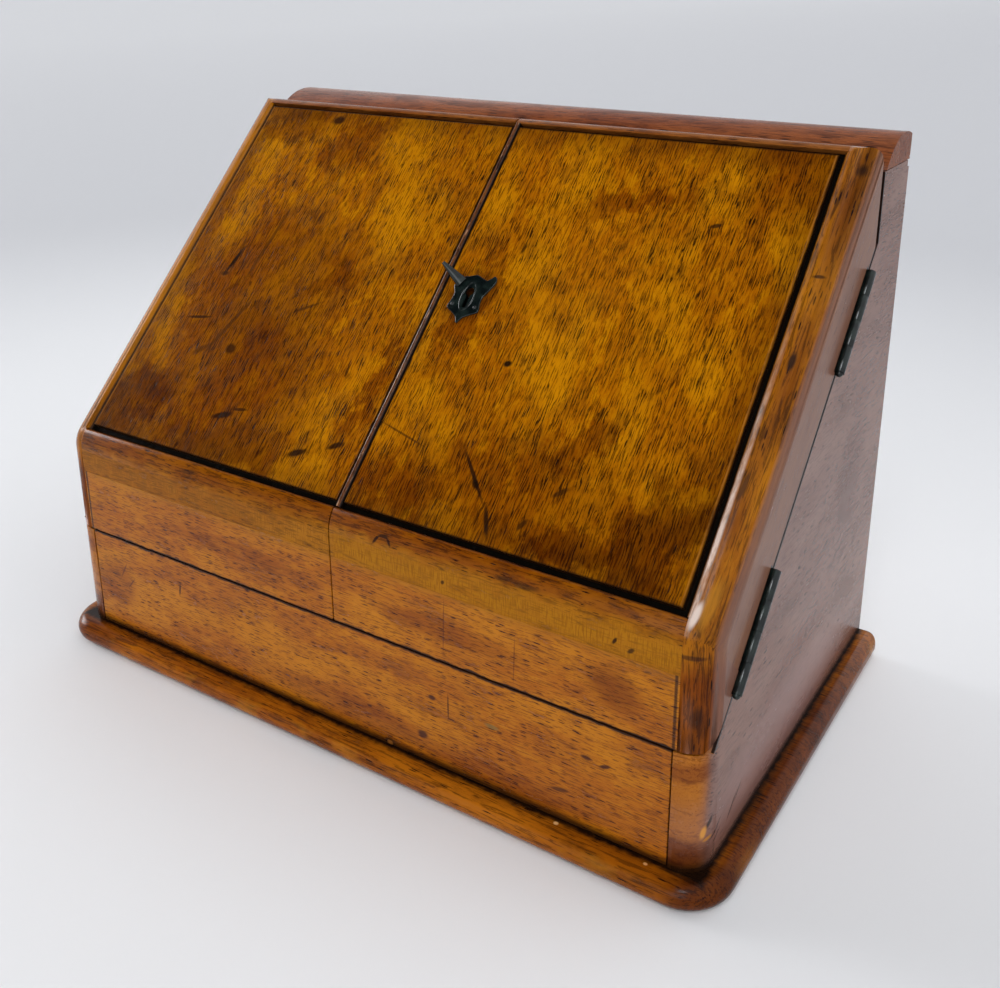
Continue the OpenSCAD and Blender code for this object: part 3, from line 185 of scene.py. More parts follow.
def waxed_wood(name, colours, along=0, turn=(0, 0, 0), move=(0, 0, 0), tone=(90, 40), patch=(40, 20),
               line=(9, 1.2), fleck=(8, 2.0), many=0.4, patchy=0.6, lined=0.6, rough=(0.2, 0.36), coat=0.0,
               wear=None, folded=False, relief=1.0, ripple=0.0, shine=0.5):
    """Oiled and waxed wood. Colours are mid, light, dark and pore. The board's own coordinates are two
    across its face and one through it, and along is the axis of the grain. Tone, patch, line and fleck are
    length and width in millimetres of the change of tone, the dark patches, the grain lines and the pores.
    Many is the share of cells that hold a pore, and patchy and lined are the strengths of patches and lines.
    Wear lays marks and grime over the colour. Folded follows the bend of the doors. Relief is how open the
    grain is, ripple the strength of the wavy lines of crazed polish, and shine how much it mirrors."""
    material = bpy.data.materials.new(name)
    material.use_nodes = True
    tree = material.node_tree
    tree.nodes.clear()
    mid, light, dark, pore = colours
    place = add(tree, "TexCoord").outputs["Object"]
    turn = tuple(math.radians(t) for t in turn)
    board = add(tree, "Mapping", {"Location": move, "Rotation": turn}, {"Vector": place})
    if folded:
        upright = add(tree, "Mapping", {"Location": (0, -bend_height, -front_face),
                                        "Rotation": (math.radians(-90), 0, 0)}, {"Vector": place})
        height = add(tree, "SeparateXYZ", links={"Vector": board}).outputs["Y"]
        above = add(tree, "Math", {"operation": "GREATER_THAN", 1: 0}, {0: height})
        board = add(tree, "MixRGB", links={"Fac": above, "Color1": upright, "Color2": board})

    def figure(size, shift=0):
        """Coordinates for a figure in the wood, its length laid along the grain."""
        sizes = [size[1]] * 3
        sizes[along] = size[0]
        return add(tree, "Mapping", {"Scale": per_metre(*sizes), "Location": [shift] * 3}, {"Vector": board})

    # slow change of tone over the board, darker patches and the short lines of the grain
    slow = add(tree, "TexNoise", {"Scale": 1, "Detail": 3}, {"Vector": figure(tone)})
    cloud = add(tree, "TexNoise", {"Scale": 1, "Detail": 6, "Roughness": 0.7}, {"Vector": figure(patch, 7)})
    grain = add(tree, "TexNoise", {"Scale": 1, "Detail": 3, "Roughness": 0.6, "Distortion": 0.6},
                {"Vector": figure(line, 3)})
    colour = add(tree, "RGB")
    colour.outputs[0].default_value = linear(mid)
    for mask, low, high, tint, strength in (
            (slow, 0.46, 0.6, light, 0.7), (cloud, 0.5, 0.62, dark, patchy), (cloud, 0.46, 0.36, light, 0.6),
            (grain, 0.54, 0.575, pore, lined), (grain, 0.48, 0.4, light, lined * 0.6)):
        amount = add(tree, "MapRange", {"From Min": low, "From Max": high, "To Max": strength},
                     {"Value": mask})
        colour = paint(tree, colour, tint, amount)

    # spindle-shaped pores in some of the cells, most of them in the darker patches
    cell = add(tree, "TexVoronoi", {"Scale": 1}, {"Vector": figure(fleck)})
    spindle = add(tree, "MapRange", {"interpolation_type": "SMOOTHSTEP", "From Min": 0.36, "From Max": 0.2},
                  {"Value": cell.outputs["Distance"]})
    draw = add(tree, "SeparateColor", links={"Color": cell.outputs["Color"]}).outputs["Red"]
    kept = add(tree, "MapRange", {"From Min": 1 - many, "From Max": 1.1 - many}, {"Value": draw})
    gather = add(tree, "MapRange", {"From Min": 0.36, "From Max": 0.56, "To Min": 0.3}, {"Value": cloud})
    pores = add(tree, "Math", {"operation": "MULTIPLY"}, {0: spindle, 1: kept})
    pores = add(tree, "Math", {"operation": "MULTIPLY"}, {0: pores, 1: gather})
    colour = paint(tree, colour, pore, pores)
    if ripple:
        wavy = add(tree, "TexWave", {"Scale": 0.25, "Distortion": 9, "Detail": 3, "Detail Scale": 1.6,
                                     "bands_direction": "XYZ"[1 - along]}, {"Vector": figure((5, 1), 11)})
        crazed = add(tree, "MapRange", {"From Min": 0.62, "From Max": 0.85, "To Max": ripple},
                     {"Value": wavy.outputs["Fac"]})
        short = add(tree, "TexNoise", {"Scale": 1, "Detail": 2}, {"Vector": figure((9, 3), 5)})
        short = add(tree, "MapRange", {"From Min": 0.46, "From Max": 0.56, "To Min": 0.15}, {"Value": short})
        for share in (gather, short):
            crazed = add(tree, "Math", {"operation": "MULTIPLY"}, {0: crazed, 1: share})
        colour = paint(tree, colour, pore, crazed)
    if wear:
        colour = wear(tree, board, colour)

    # pores are open, and the polish lies in slow waves over the grain
    rise = add(tree, "Bump", {"Strength": 0.5 * relief, "Distance": 0.00008, "invert": True},
               {"Height": pores})
    rise = add(tree, "Bump", {"Strength": 0.4 * relief, "Distance": 0.00005, "invert": True},
               {"Height": grain, "Normal": rise})
    if ripple:
        rise = add(tree, "Bump", {"Strength": 0.2, "Distance": 0.0001, "invert": True},
                   {"Height": crazed, "Normal": rise})
    wave = add(tree, "TexNoise", {"Scale": 1000 / 7.692, "Detail": 2}, {"Vector": board})
    skin = add(tree, "Bump", {"Strength": 0.3, "Distance": 0.0003}, {"Height": wave, "Normal": rise})
    dull = add(tree, "MapRange", {"From Min": 0.3, "From Max": 0.7, "To Min": rough[0], "To Max": rough[1]},
               {"Value": cloud})
    wood = add(tree, "BsdfPrincipled", {"IOR": 1.27, "Specular IOR Level": shine, "Coat Weight": coat,
                                        "Coat Roughness": 0.12},
               {"Base Color": colour, "Roughness": dull, "Normal": skin})
    add(tree, "OutputMaterial", links={"Surface": wood})
    return material


def dress(material, *names, edge=0.0004):
    """Gives CAD nodes their finish, and breaks their sharp edges a little, as wear does."""
    for name in names:
        piece = node[name]
        for slot in piece.material_slots:
            slot.material = material
        weld = piece.modifiers.new("weld", "WELD")
        weld.merge_threshold = 0.00001
        soft = piece.modifiers.new("worn_edges", "BEVEL")
        soft.width = edge
        soft.segments = 2
        soft.limit_method = "ANGLE"
        soft.angle_limit = math.radians(35)
        soft.use_clamp_overlap = True


def side_wear(tree, board, colour):
    back, up, across = add(tree, "SeparateXYZ", links={"Vector": board}).outputs
    front = add(tree, "MapRange", {"interpolation_type": "SMOOTHSTEP", "From Min": -0.0905,
                                   "From Max": -0.0965}, {"Value": back})
    colour = paint(tree, colour, "#FFEE70", front, how="MULTIPLY")
    colour = paint(tree, colour, "#743C00", front, how="ADD")
    spread = add(tree, "Mapping", {"Scale": per_metre(4.167, 2.381, 8.333)}, {"Vector": board})
    grown = add(tree, "TexNoise", {"Scale": 1, "Detail": 4, "Roughness": 0.7, "Distortion": 0.8},
                {"Vector": spread})
    grown = add(tree, "MapRange", {"From Min": 0.5, "From Max": 0.62, "To Max": 0.75}, {"Value": grown})
    colour = paint(tree, colour, "#6A3408", grown, front)
    colour = spots(tree, board, colour, (
        (-101, 20, 0, 12, 9, "#8A5A4A", 0.8), (-96, 58, 20, 9, 5, "#B08468", 0.6),
        (60, 120, 80, 40, 22, "#C8A8A0", 0.6), (0, 60, 10, 50, 16, "#D8B8B0", 0.5)), "MULTIPLY")
    # the broad pale tint low on the face is a painted reflection of the pale floor; the small marks are
    # scratches and chips
    colour = spots(tree, board, colour, (
        (-10, 32, 0, 95, 24, "#90706A", 0.6), (-70, 27, 40, 7, 0.7, "#1A0C0A", 0.8),
        (-64, 30, 40, 5, 0.6, "#1A0C0A", 0.7), (-91, 34, 60, 3.4, 1.1, "#2A140A", 0.9),
        (-93.5, 30, 80, 3.2, 1.3, "#C98A3A", 0.95), (-91.5, 26.5, 20, 2.4, 0.9, "#B87A30", 0.9),
        (-86, 27.5, 30, 6, 0.6, "#180C08", 0.9), (-85, 24, 25, 4, 0.5, "#180C08", 0.8)))
    # darker towards the foot: dark wax, and painted shade where the plinth meets the board
    colour = paint(tree, colour, "#3A1A10", near(tree, up, plinth_top, 0.003, 0.014, 0.4))
    colour = paint(tree, colour, "#120805", near(tree, up, plinth_top - 0.001, 0.002, 0.006, 0.9))
    # black joint on the outer face, behind the front edge, where the door closes on the board: it follows
    # the slope, and stands upright above 230 mm
    depth = add(tree, "VectorMath", {"operation": "DOT_PRODUCT", 1: (-math.sin(slope), math.cos(slope), 0)},
                {0: board})
    slanting = near(tree, depth.outputs["Value"], door_depth, 0.0007, 0.0018, 0.95)
    standing = near(tree, back, top_depth, 0.0006, 0.0015, 0.95)
    high = add(tree, "Math", {"operation": "GREATER_THAN", 1: top_start}, {0: up})
    seam = add(tree, "MixRGB", links={"Fac": high, "Color1": slanting, "Color2": standing})
    behind = add(tree, "Math", {"operation": "GREATER_THAN", 1: front_edge}, {0: back})
    outside = add(tree, "Math", {"operation": "ABSOLUTE"}, {0: across})
    outside = add(tree, "Math", {"operation": "GREATER_THAN", 1: outer_face}, {0: outside})
    return paint(tree, colour, "#120A08", seam, behind, outside)


dress(waxed_wood("polished_mahogany_sides", ("#745044", "#825E50", "#5C3E34", "#1A0C0A"), turn=(-90, -90, 0),
                 fleck=(6, 0.9), many=0.3, line=(9, 0.9), lined=0.3, patch=(50, 16), patchy=0.35,
                 wear=side_wear, rough=(0.2, 0.3), relief=0.25), "side_board_left", "side_board_right")

# Plinth: a board with a half-round nose, the grain running across, the case standing on it.
# Black wax and dirt fill the corner round the case; the nose is rubbed to orange, with a painted highlight
# along it.
case_half, case_front = 0.180, 0.0993
nose_reach, upper_start = 0.0125, 0.0105


def plinth_wear(tree, board, colour):
    across, back, up = add(tree, "SeparateXYZ", links={"Vector": board}).outputs
    # ragged distance out from the walls of the case
    wide = add(tree, "Math", {"operation": "ABSOLUTE"}, {0: across})
    wide = add(tree, "Math", {"operation": "SUBTRACT", 1: case_half}, {0: wide})
    ahead = add(tree, "Math", {"operation": "SUBTRACT", 0: -case_front}, {1: back})
    out = add(tree, "Math", {"operation": "MAXIMUM"}, {0: wide, 1: ahead})
    ragged = add(tree, "TexNoise", {"Scale": 1000 / 3.846, "Detail": 3}, {"Vector": board})
    out = add(tree, "Math", {"operation": "MULTIPLY_ADD", 1: 0.003}, {0: ragged, 2: out})
    patches = add(tree, "TexNoise", {"Scale": 1000 / 25, "Detail": 3}, {"Vector": board})
    rubbed_and_sheen_patches = add(tree, "MapRange", {"From Min": 0.5, "From Max": 0.64, "To Max": 0.5}, {"Value": patches})
    # lighter orange patches along the nose: rubbed wood and a painted highlight
    nose = near(tree, out, nose_reach, 0.0015, 0.004)
    colour = paint(tree, colour, "#B47A1C", nose, rubbed_and_sheen_patches)
    colour = spots(tree, board, colour, (
        (150, -106, 0, 46, 9, "#CCBCA0", 0.7), (187, -100, 50, 26, 14, "#805C38", 0.8),
        (188, -10, 90, 110, 9, "#8C6C50", 0.85), (-170, -106, 0, 26, 8, "#A88870", 0.6)), "MULTIPLY")
    grime = near(tree, out, -0.002, 0.0035, 0.0068, 0.96)
    upper = add(tree, "Math", {"operation": "GREATER_THAN", 1: upper_start}, {0: up})
    colour = paint(tree, colour, "#0C0705", grime, upper)
    return spots(tree, board, colour, (
        (117, -101.5, 0, 1.2, 1.0, "#E0B070", 0.95), (158, -102, 0, 1.0, 0.8, "#D8A060", 0.9),
        (-110, -101, 30, 5, 0.5, "#1A0C06", 0.9)))


dress(waxed_wood("polished_mahogany_plinth", ("#844408", "#A86210", "#50280A", "#160A06"), fleck=(8, 0.9),
                 many=0.28, line=(14, 0.8), lined=0.5, patch=(26, 7), wear=plinth_wear, rough=(0.16, 0.3),
                 shine=0.25, coat=0.04), "plinth")

# Back board: plain stained mahogany, seldom polished, let in between the side boards.
# The drawer's stops, two small blocks glued in front of it, have the same stain.
dress(waxed_wood("stained_mahogany_back", ("#6B3D1B", "#84502A", "#4A2811", "#28150A"), fleck=(6, 1.0),
                 many=0.3, lined=0.4, rough=(0.5, 0.65)),
      "back_board", "drawer_stops")

# Letter rack, its grooved linings, the pen block, the pen compartment and the drawer's sides and bottom.
# Oiled mahogany of a paler sort, dry to the touch.
inner_wood = waxed_wood("oiled_mahogany_inside", ("#9A6430", "#B58044", "#7A4A20", "#4A2A12"), fleck=(5, 0.9),
                        many=0.3, lined=0.4, patchy=0.4, rough=(0.42, 0.58))
dress(inner_wood, "cabinet_floor", "rack_board_front", "rack_board_middle", "rack_board_rear", "card_divider",
      "envelope_divider", "pen_trough", "pen_compartment_front", "pen_compartment_floor", "pen_rests",
      "rack_liner_left", "rack_liner_right", "drawer_side_left", "drawer_side_right", "drawer_back",
      "drawer_bottom")

# Stiles of the doors: each is one piece from the top down over the bend, with the hinges let into its side.
# The shoulder beside the panel has a painted highlight, the groove along it is black, and shade is painted
# round the hinge leaves.
slope_turn = (-45.5, 0, 0)
slope_move = (0, -0.01401, -0.15257)
stile_edge, shoulder, stile_back, hinge_bed = 0.166, 0.1681, -0.0388, -0.0385
groove_middle, groove_start, groove_floor = 0.1649, 0.006, -0.0045
hinge_places, hinge_half = (0.0168, 0.1568), 0.0258


def stile_wear(tree, board, colour):
    side, up, out = add(tree, "SeparateXYZ", links={"Vector": board}).outputs
    wide = add(tree, "Math", {"operation": "ABSOLUTE"}, {0: side})
    low = add(tree, "MapRange", {"interpolation_type": "SMOOTHSTEP", "From Min": -0.006, "From Max": -0.02,
                                 "To Max": 0.8}, {"Value": up})
    colour = paint(tree, colour, "#B88A70", low, how="MULTIPLY")
    colour = spots(tree, board, colour, (
        (177, 195, 88, 46, 7, "#B09A60", 0.8), (176, 110, 88, 40, 5, "#C0A880", 0.6),
        (172, 60, 88, 30, 6, "#C0A878", 0.5)), "MULTIPLY", face=0)
    # the near-white patch at the foot of the right shoulder is a painted highlight, and the long orange patch
    # on the left stile is painted light; the rest are dents and stains
    colour = spots(tree, board, colour, (
        (173, 115.5, 88, 5, 1.6, "#1E1006", 0.9), (176, 210, 60, 5, 3, "#1E1006", 0.85),
        (172.7, 155, 20, 3, 1, "#1E1006", 0.8), (176, 21, 70, 9, 3, "#2E1808", 0.35),
        (171, 60, 85, 8, 1, "#24120A", 0.7), (-172, 110, 90, 120, 8, "#B87418", 0.5),
        (169.6, 8, 82, 6, 1.6, "#E4D6CC", 0.75), (173.5, 14, 84, 12, 3, "#B87C20", 0.5),
        (172, -9, 0, 8, 1.2, "#2A140A", 0.7), (174, -34, 80, 6, 2.4, "#1E100A", 0.6),
        (170, 190, 85, 9, 0.8, "#24120A", 0.7)), face=0)
    # grey on the outer flank: wax bloom, with a painted reflection of the pale room
    flank = add(tree, "MapRange", {"interpolation_type": "SMOOTHSTEP", "From Min": 0.1774, "From Max": 0.179,
                                   "To Max": 0.8}, {"Value": wide})
    colour = paint(tree, colour, "#76564A", flank)
    # painted highlight on the shoulder of the right door: a pale broken line, fading up the slope
    worn = near(tree, wide, shoulder, 0.0005, 0.0017)
    lower = add(tree, "MapRange", {"interpolation_type": "SMOOTHSTEP", "From Min": 0.15, "From Max": 0.02,
                                   "To Min": 0.05, "To Max": 1.0}, {"Value": up})
    spread = add(tree, "Mapping", {"Scale": per_metre(3.333, 16.67, 3.333)}, {"Vector": board})
    broken = add(tree, "TexNoise", {"Scale": 1, "Detail": 4, "Roughness": 0.7}, {"Vector": spread})
    broken = add(tree, "MapRange", {"From Min": 0.38, "From Max": 0.6, "To Min": 0.3}, {"Value": broken})
    straight = add(tree, "MapRange", {"From Min": -0.002, "From Max": 0.012}, {"Value": up})
    right = add(tree, "Math", {"operation": "GREATER_THAN", 1: 0}, {0: side})
    colour = paint(tree, colour, "#D8C2B4", worn, lower, broken, straight, right)
    # dirt in the groove, in the joint on the inner edge and behind the stile, and painted shade round the
    # hinge leaves
    groove = near(tree, wide, groove_middle, 0.001, 0.0022, 0.97)
    upper = add(tree, "Math", {"operation": "GREATER_THAN", 1: groove_start}, {0: up})
    shallow = add(tree, "Math", {"operation": "GREATER_THAN", 1: groove_floor}, {0: out})
    for share in (upper, shallow):
        groove = add(tree, "Math", {"operation": "MULTIPLY"}, {0: groove, 1: share})
    joint = near(tree, wide, stile_edge, 0.0003, 0.0009, 0.85)
    depth = add(tree, "VectorMath", {"operation": "DOT_PRODUCT", 1: (0, math.cos(slope), -math.sin(slope))},
                {0: board})
    standing = near(tree, depth.outputs["Value"], front_face + 0.0675, 0.0006, 0.0016, 0.95)
    seam = near(tree, out, stile_back, 0.0009, 0.002, 0.95)
    seam = add(tree, "Math", {"operation": "MAXIMUM"}, {0: seam, 1: standing})
    outside = add(tree, "Math", {"operation": "GREATER_THAN", 1: outer_face}, {0: wide})
    seam = add(tree, "Math", {"operation": "MULTIPLY"}, {0: seam, 1: outside})
    dirt_and_shade = groove
    for mask in (joint, seam):
        dirt_and_shade = add(tree, "Math", {"operation": "MAXIMUM"}, {0: dirt_and_shade, 1: mask})
    for place in hinge_places:
        along = near(tree, up, place, hinge_half, hinge_half + 0.0008)
        hinge_recess_shade = near(tree, out, hinge_bed, 0.0028, 0.0036, 0.95)
        hinge_recess_shade = add(tree, "Math", {"operation": "MULTIPLY"}, {0: along, 1: hinge_recess_shade})
        dirt_and_shade = add(tree, "Math", {"operation": "MAXIMUM"}, {0: dirt_and_shade, 1: hinge_recess_shade})
    return paint(tree, colour, "#0B0A09", dirt_and_shade)


stile_wood = waxed_wood("polished_mahogany_stiles", ("#8A4E06", "#A8680C", "#502C06", "#140904"), along=1,
                        turn=slope_turn, move=slope_move, fleck=(8, 1.2), many=0.35, line=(14, 0.9),
                        lined=0.5, patch=(34, 10), wear=stile_wear, folded=True, rough=(0.16, 0.28),
                        shine=0.3)
dress(stile_wood, "door_cheek_left", "door_cheek_right")

# Bottom rails: the bent pieces between panel and lower board, rubbed to a pale ochre below the bend.
# Fine crossing lines show where the polish has crazed.
band_middle, rail_groove = -0.0075, 0.0081


def rail_wear(tree, board, colour):
    side, up, out = add(tree, "SeparateXYZ", links={"Vector": board}).outputs
    ragged = add(tree, "TexNoise", {"Scale": 1000 / 8.333, "Detail": 4}, {"Vector": board})
    down = add(tree, "Math", {"operation": "MULTIPLY_ADD", 1: 0.008}, {0: ragged, 2: up})
    # darker towards the groove: dirt, and painted shade beside the panel's edge
    dark = near(tree, down, 0.008, 0.0035, 0.0095, 0.7)
    colour = paint(tree, colour, "#C8A860", dark, how="MULTIPLY")
    # band below the bend, unevenly rubbed, more golden on the right door, with the crazing woven into it
    spread = add(tree, "Mapping", {"Scale": per_metre(16.67, 5, 16.67)}, {"Vector": board})
    uneven = add(tree, "TexNoise", {"Scale": 1, "Detail": 4, "Roughness": 0.7}, {"Vector": spread})
    uneven = add(tree, "MapRange", {"From Min": 0.38, "From Max": 0.6, "To Min": 0.3, "To Max": 0.95},
                 {"Value": uneven})
    band = near(tree, down, band_middle, 0.0015, 0.0105)
    band = add(tree, "Math", {"operation": "MULTIPLY"}, {0: band, 1: uneven})
    light = add(tree, "Math", {"operation": "MULTIPLY", 1: 0.4}, {0: band})
    colour = paint(tree, colour, "#9E6618", light)
    golden = add(tree, "MapRange", {"interpolation_type": "SMOOTHSTEP", "From Min": -0.002, "From Max": 0.004,
                                    "To Max": 0.75}, {"Value": side})
    colour = paint(tree, colour, "#A46A04", golden, band)
    spread = add(tree, "Mapping", {"Scale": per_metre(0.5882, 7.143, 7.143)}, {"Vector": board})
    weave = add(tree, "TexNoise", {"Scale": 1, "Detail": 1}, {"Vector": spread})
    weave = add(tree, "MapRange", {"From Min": 0.5, "From Max": 0.56, "To Max": 0.8}, {"Value": weave})
    colour = paint(tree, colour, "#7E4C08", weave, band)
    colour = spots(tree, board, colour, (
        (25, -2, 55, 3.6, 0.8, "#1C0E06", 0.9), (28.4, 0.4, 5, 3.2, 1.3, "#1C0E06", 0.85),
        (31.4, -1.6, -60, 3, 0.8, "#1C0E06", 0.85), (90, -1, 10, 5, 1.6, "#24140A", 0.7),
        (100, -1.5, 0, 7, 1.8, "#24140A", 0.6), (140, -12, 60, 2, 0.8, "#1C0E06", 0.9),
        (147, -14, 40, 2, 1, "#1C0E06", 0.8), (60, -12, 50, 1.2, 0.9, "#1C0E06", 0.8),
        (-90, 1, 10, 6, 1.4, "#24140A", 0.6)), face=0)
    groove = near(tree, up, rail_groove, 0.0011, 0.0026, 0.97)
    shallow = add(tree, "Math", {"operation": "GREATER_THAN", 1: groove_floor}, {0: out})
    return paint(tree, colour, "#0A0B0A", groove, shallow)


rail_wood = waxed_wood("polished_mahogany_bent_rail", ("#884C08", "#A2660E", "#582C08", "#1A0C08"),
                       turn=slope_turn, move=slope_move, fleck=(6, 0.9), many=0.3, line=(9, 0.9), lined=0.5,
                       patch=(14, 7), wear=rail_wear, folded=True, rough=(0.18, 0.3), shine=0.25)
dress(rail_wood, "door_bottom_rail_left", "door_bottom_rail_right")

# Panels: one board in each door, the grain running up the slope, raised flush between stile and rails.
# The surface is golden where it is rubbed and nearly black in its short open grain.
panel_side, panel_middle, panel_half = 0.1643, 0.1120, 0.1028
bead_flanks = (-0.0013, 0.0023)


def panel_wear(tree, board, colour):
    side, up = add(tree, "SeparateXYZ", links={"Vector": board}).outputs[:2]
    # distance out from the panel's edges, negative on its face
    wide = add(tree, "Math", {"operation": "ABSOLUTE"}, {0: side})
    wide = add(tree, "Math", {"operation": "SUBTRACT", 1: panel_side}, {0: wide})
    high = add(tree, "Math", {"operation": "SUBTRACT", 1: panel_middle}, {0: up})
    high = add(tree, "Math", {"operation": "ABSOLUTE"}, {0: high})
    high = add(tree, "Math", {"operation": "SUBTRACT", 1: panel_half}, {0: high})
    out = add(tree, "Math", {"operation": "MAXIMUM"}, {0: wide, 1: high})
    rim = add(tree, "MapRange", {"interpolation_type": "SMOOTHSTEP", "From Min": -0.018, "From Max": -0.001,
                                 "To Max": 0.45}, {"Value": out})
    colour = paint(tree, colour, "#4A2404", rim)
    # the broad stains wander up to 25 mm each way, so that none is a plain oval
    blur = add(tree, "TexNoise", {"Scale": 1000 / 16.67, "Detail": 4, "Roughness": 0.7}, {"Vector": board})
    drift = add(tree, "VectorMath", {"operation": "MULTIPLY_ADD", 1: (0.05, 0.05, 0), 2: (-0.025, -0.025, 0)},
                {0: blur.outputs["Color"]})
    drift = add(tree, "VectorMath", {"operation": "ADD"}, {0: board, 1: drift})
    colour = spots(tree, drift, colour, (
        (-95, 50, 0, 66, 46, "#B8A080", 0.85), (80, 34, 0, 70, 26, "#BCA480", 0.7),
        (-150, 26, 30, 34, 22, "#8A6A5A", 0.8), (-100, 110, 0, 60, 44, "#B8A074", 0.8),
        (-70, 20, 10, 60, 12, "#A88878", 0.6), (150, 205, 60, 40, 26, "#B09070", 0.6),
        (145, 30, 60, 34, 20, "#907468", 0.8), (20, 24, 0, 30, 14, "#B09070", 0.7),
        (-140, 205, 10, 24, 18, "#A08070", 0.7), (-95, 190, 30, 20, 14, "#A88070", 0.6),
        (20, 112, 80, 40, 9, "#A88068", 0.6), (100, 60, 40, 22, 9, "#A88060", 0.6),
        (110, 20, 10, 22, 9, "#A08070", 0.7), (-8, 70, 80, 40, 7, "#A88468", 0.6),
        (-60, 112, 20, 26, 8, "#B08868", 0.5), (80, 180, 20, 34, 10, "#B08860", 0.6)), "MULTIPLY", face=0)
    colour = spots(tree, drift, colour, (
        (70, 130, 70, 44, 30, "#2E1C02", 0.8), (95, 95, 60, 30, 20, "#2E1C00", 0.7),
        (-60, 150, 70, 50, 34, "#241400", 0.7), (-40, 60, 20, 30, 18, "#2A1400", 0.7),
        (60, 160, 10, 22, 12, "#301400", 0.8), (35, 190, 20, 20, 12, "#301000", 0.7)), "ADD", face=0)
    # scratches, dents and stains; the last mark is a black oval of painted shade in the escutcheon's keyhole
    colour = spots(tree, board, colour, (
        (-103, 66, 0, 3.8, 3.2, "#2A1404", 0.85), (52, 89, 20, 2.4, 1.8, "#0C0A06", 0.95),
        (-131, 115, 78, 9, 1.4, "#140A02", 0.95), (-133, 106, 10, 3, 1.6, "#140A02", 0.7),
        (-112, 209, 10, 4.4, 3.2, "#241208", 0.9), (16, 46, -13, 15, 0.6, "#3A1E06", 0.7),
        (59, 36, -48, 15, 1.0, "#1E1006", 0.9), (73, 19, -64, 8, 1.3, "#1E1006", 0.9),
        (61, 33, -48, 3, 1.7, "#160C05", 0.9), (-87, 32, 20, 7, 1.8, "#1E0E04", 0.9),
        (-34, 24.5, 25, 6, 1.9, "#1A0C04", 0.9), (-78, 37, 10, 5, 1, "#241206", 0.8),
        (-15.5, 32.5, 30, 5, 1.7, "#1A0C04", 0.9), (-134, 79, 10, 9, 1, "#241206", 0.85),
        (-70, 96, 30, 9, 1, "#2E1806", 0.6), (-115, 128, 84, 30, 1.3, "#4A2806", 0.7),
        (-112, 78, 70, 22, 1.4, "#3E2006", 0.7), (-122, 62, 40, 6, 2, "#3E2006", 0.6),
        (89, 22, 60, 3.4, 1.4, "#2A1606", 0.8), (100, 39, 40, 4.4, 1.4, "#2A1606", 0.75),
        (35, 147, 80, 3, 1.0, "#1E1005", 0.8), (122, 172, 20, 3, 1.3, "#241408", 0.85),
        (17, 119, 60, 16, 14, "#3A1E06", 0.45), (17.5, 116, 90, 8.5, 4.5, "#040403", 1.0)), face=0)
    # painted highlight: a pale broken line along the panel's arris
    arris_highlight = near(tree, wide, -0.0011, 0.0002, 0.0006, 0.45)
    colour = paint(tree, colour, "#C08038", arris_highlight, blur)
    # black edge all round, and a line on either side of the bead
    edge = add(tree, "MapRange", {"interpolation_type": "SMOOTHSTEP", "From Min": -0.0012,
                                  "From Max": 0.0002}, {"Value": out})
    for place in bead_flanks:
        line = near(tree, side, place, 0.0003, 0.0009)
        edge = add(tree, "Math", {"operation": "MAXIMUM"}, {0: line, 1: edge})
    return paint(tree, colour, "#0C0906", edge)


panel_wood = waxed_wood("polished_mahogany_panels", ("#965402", "#BC7A06", "#663804", "#221202"), along=1,
                        turn=slope_turn, move=slope_move, fleck=(7, 1.0), many=0.22, tone=(60, 34),
                        patch=(20, 12), line=(8, 0.8), patchy=0.5, lined=0.55, ripple=0.95,
                        wear=panel_wear, rough=(0.2, 0.34), shine=0.1)
dress(panel_wood, "door_panel_left", "door_panel_right", edge=0.0006)

# Lower boards of the doors and the drawer front: the same board sawn in two, the grain running across.
# Orange mahogany with purple-brown pores; dirt lies along every joint.
board_top, drawer_top, face_start = 0.1055, 0.0676, 0.0968


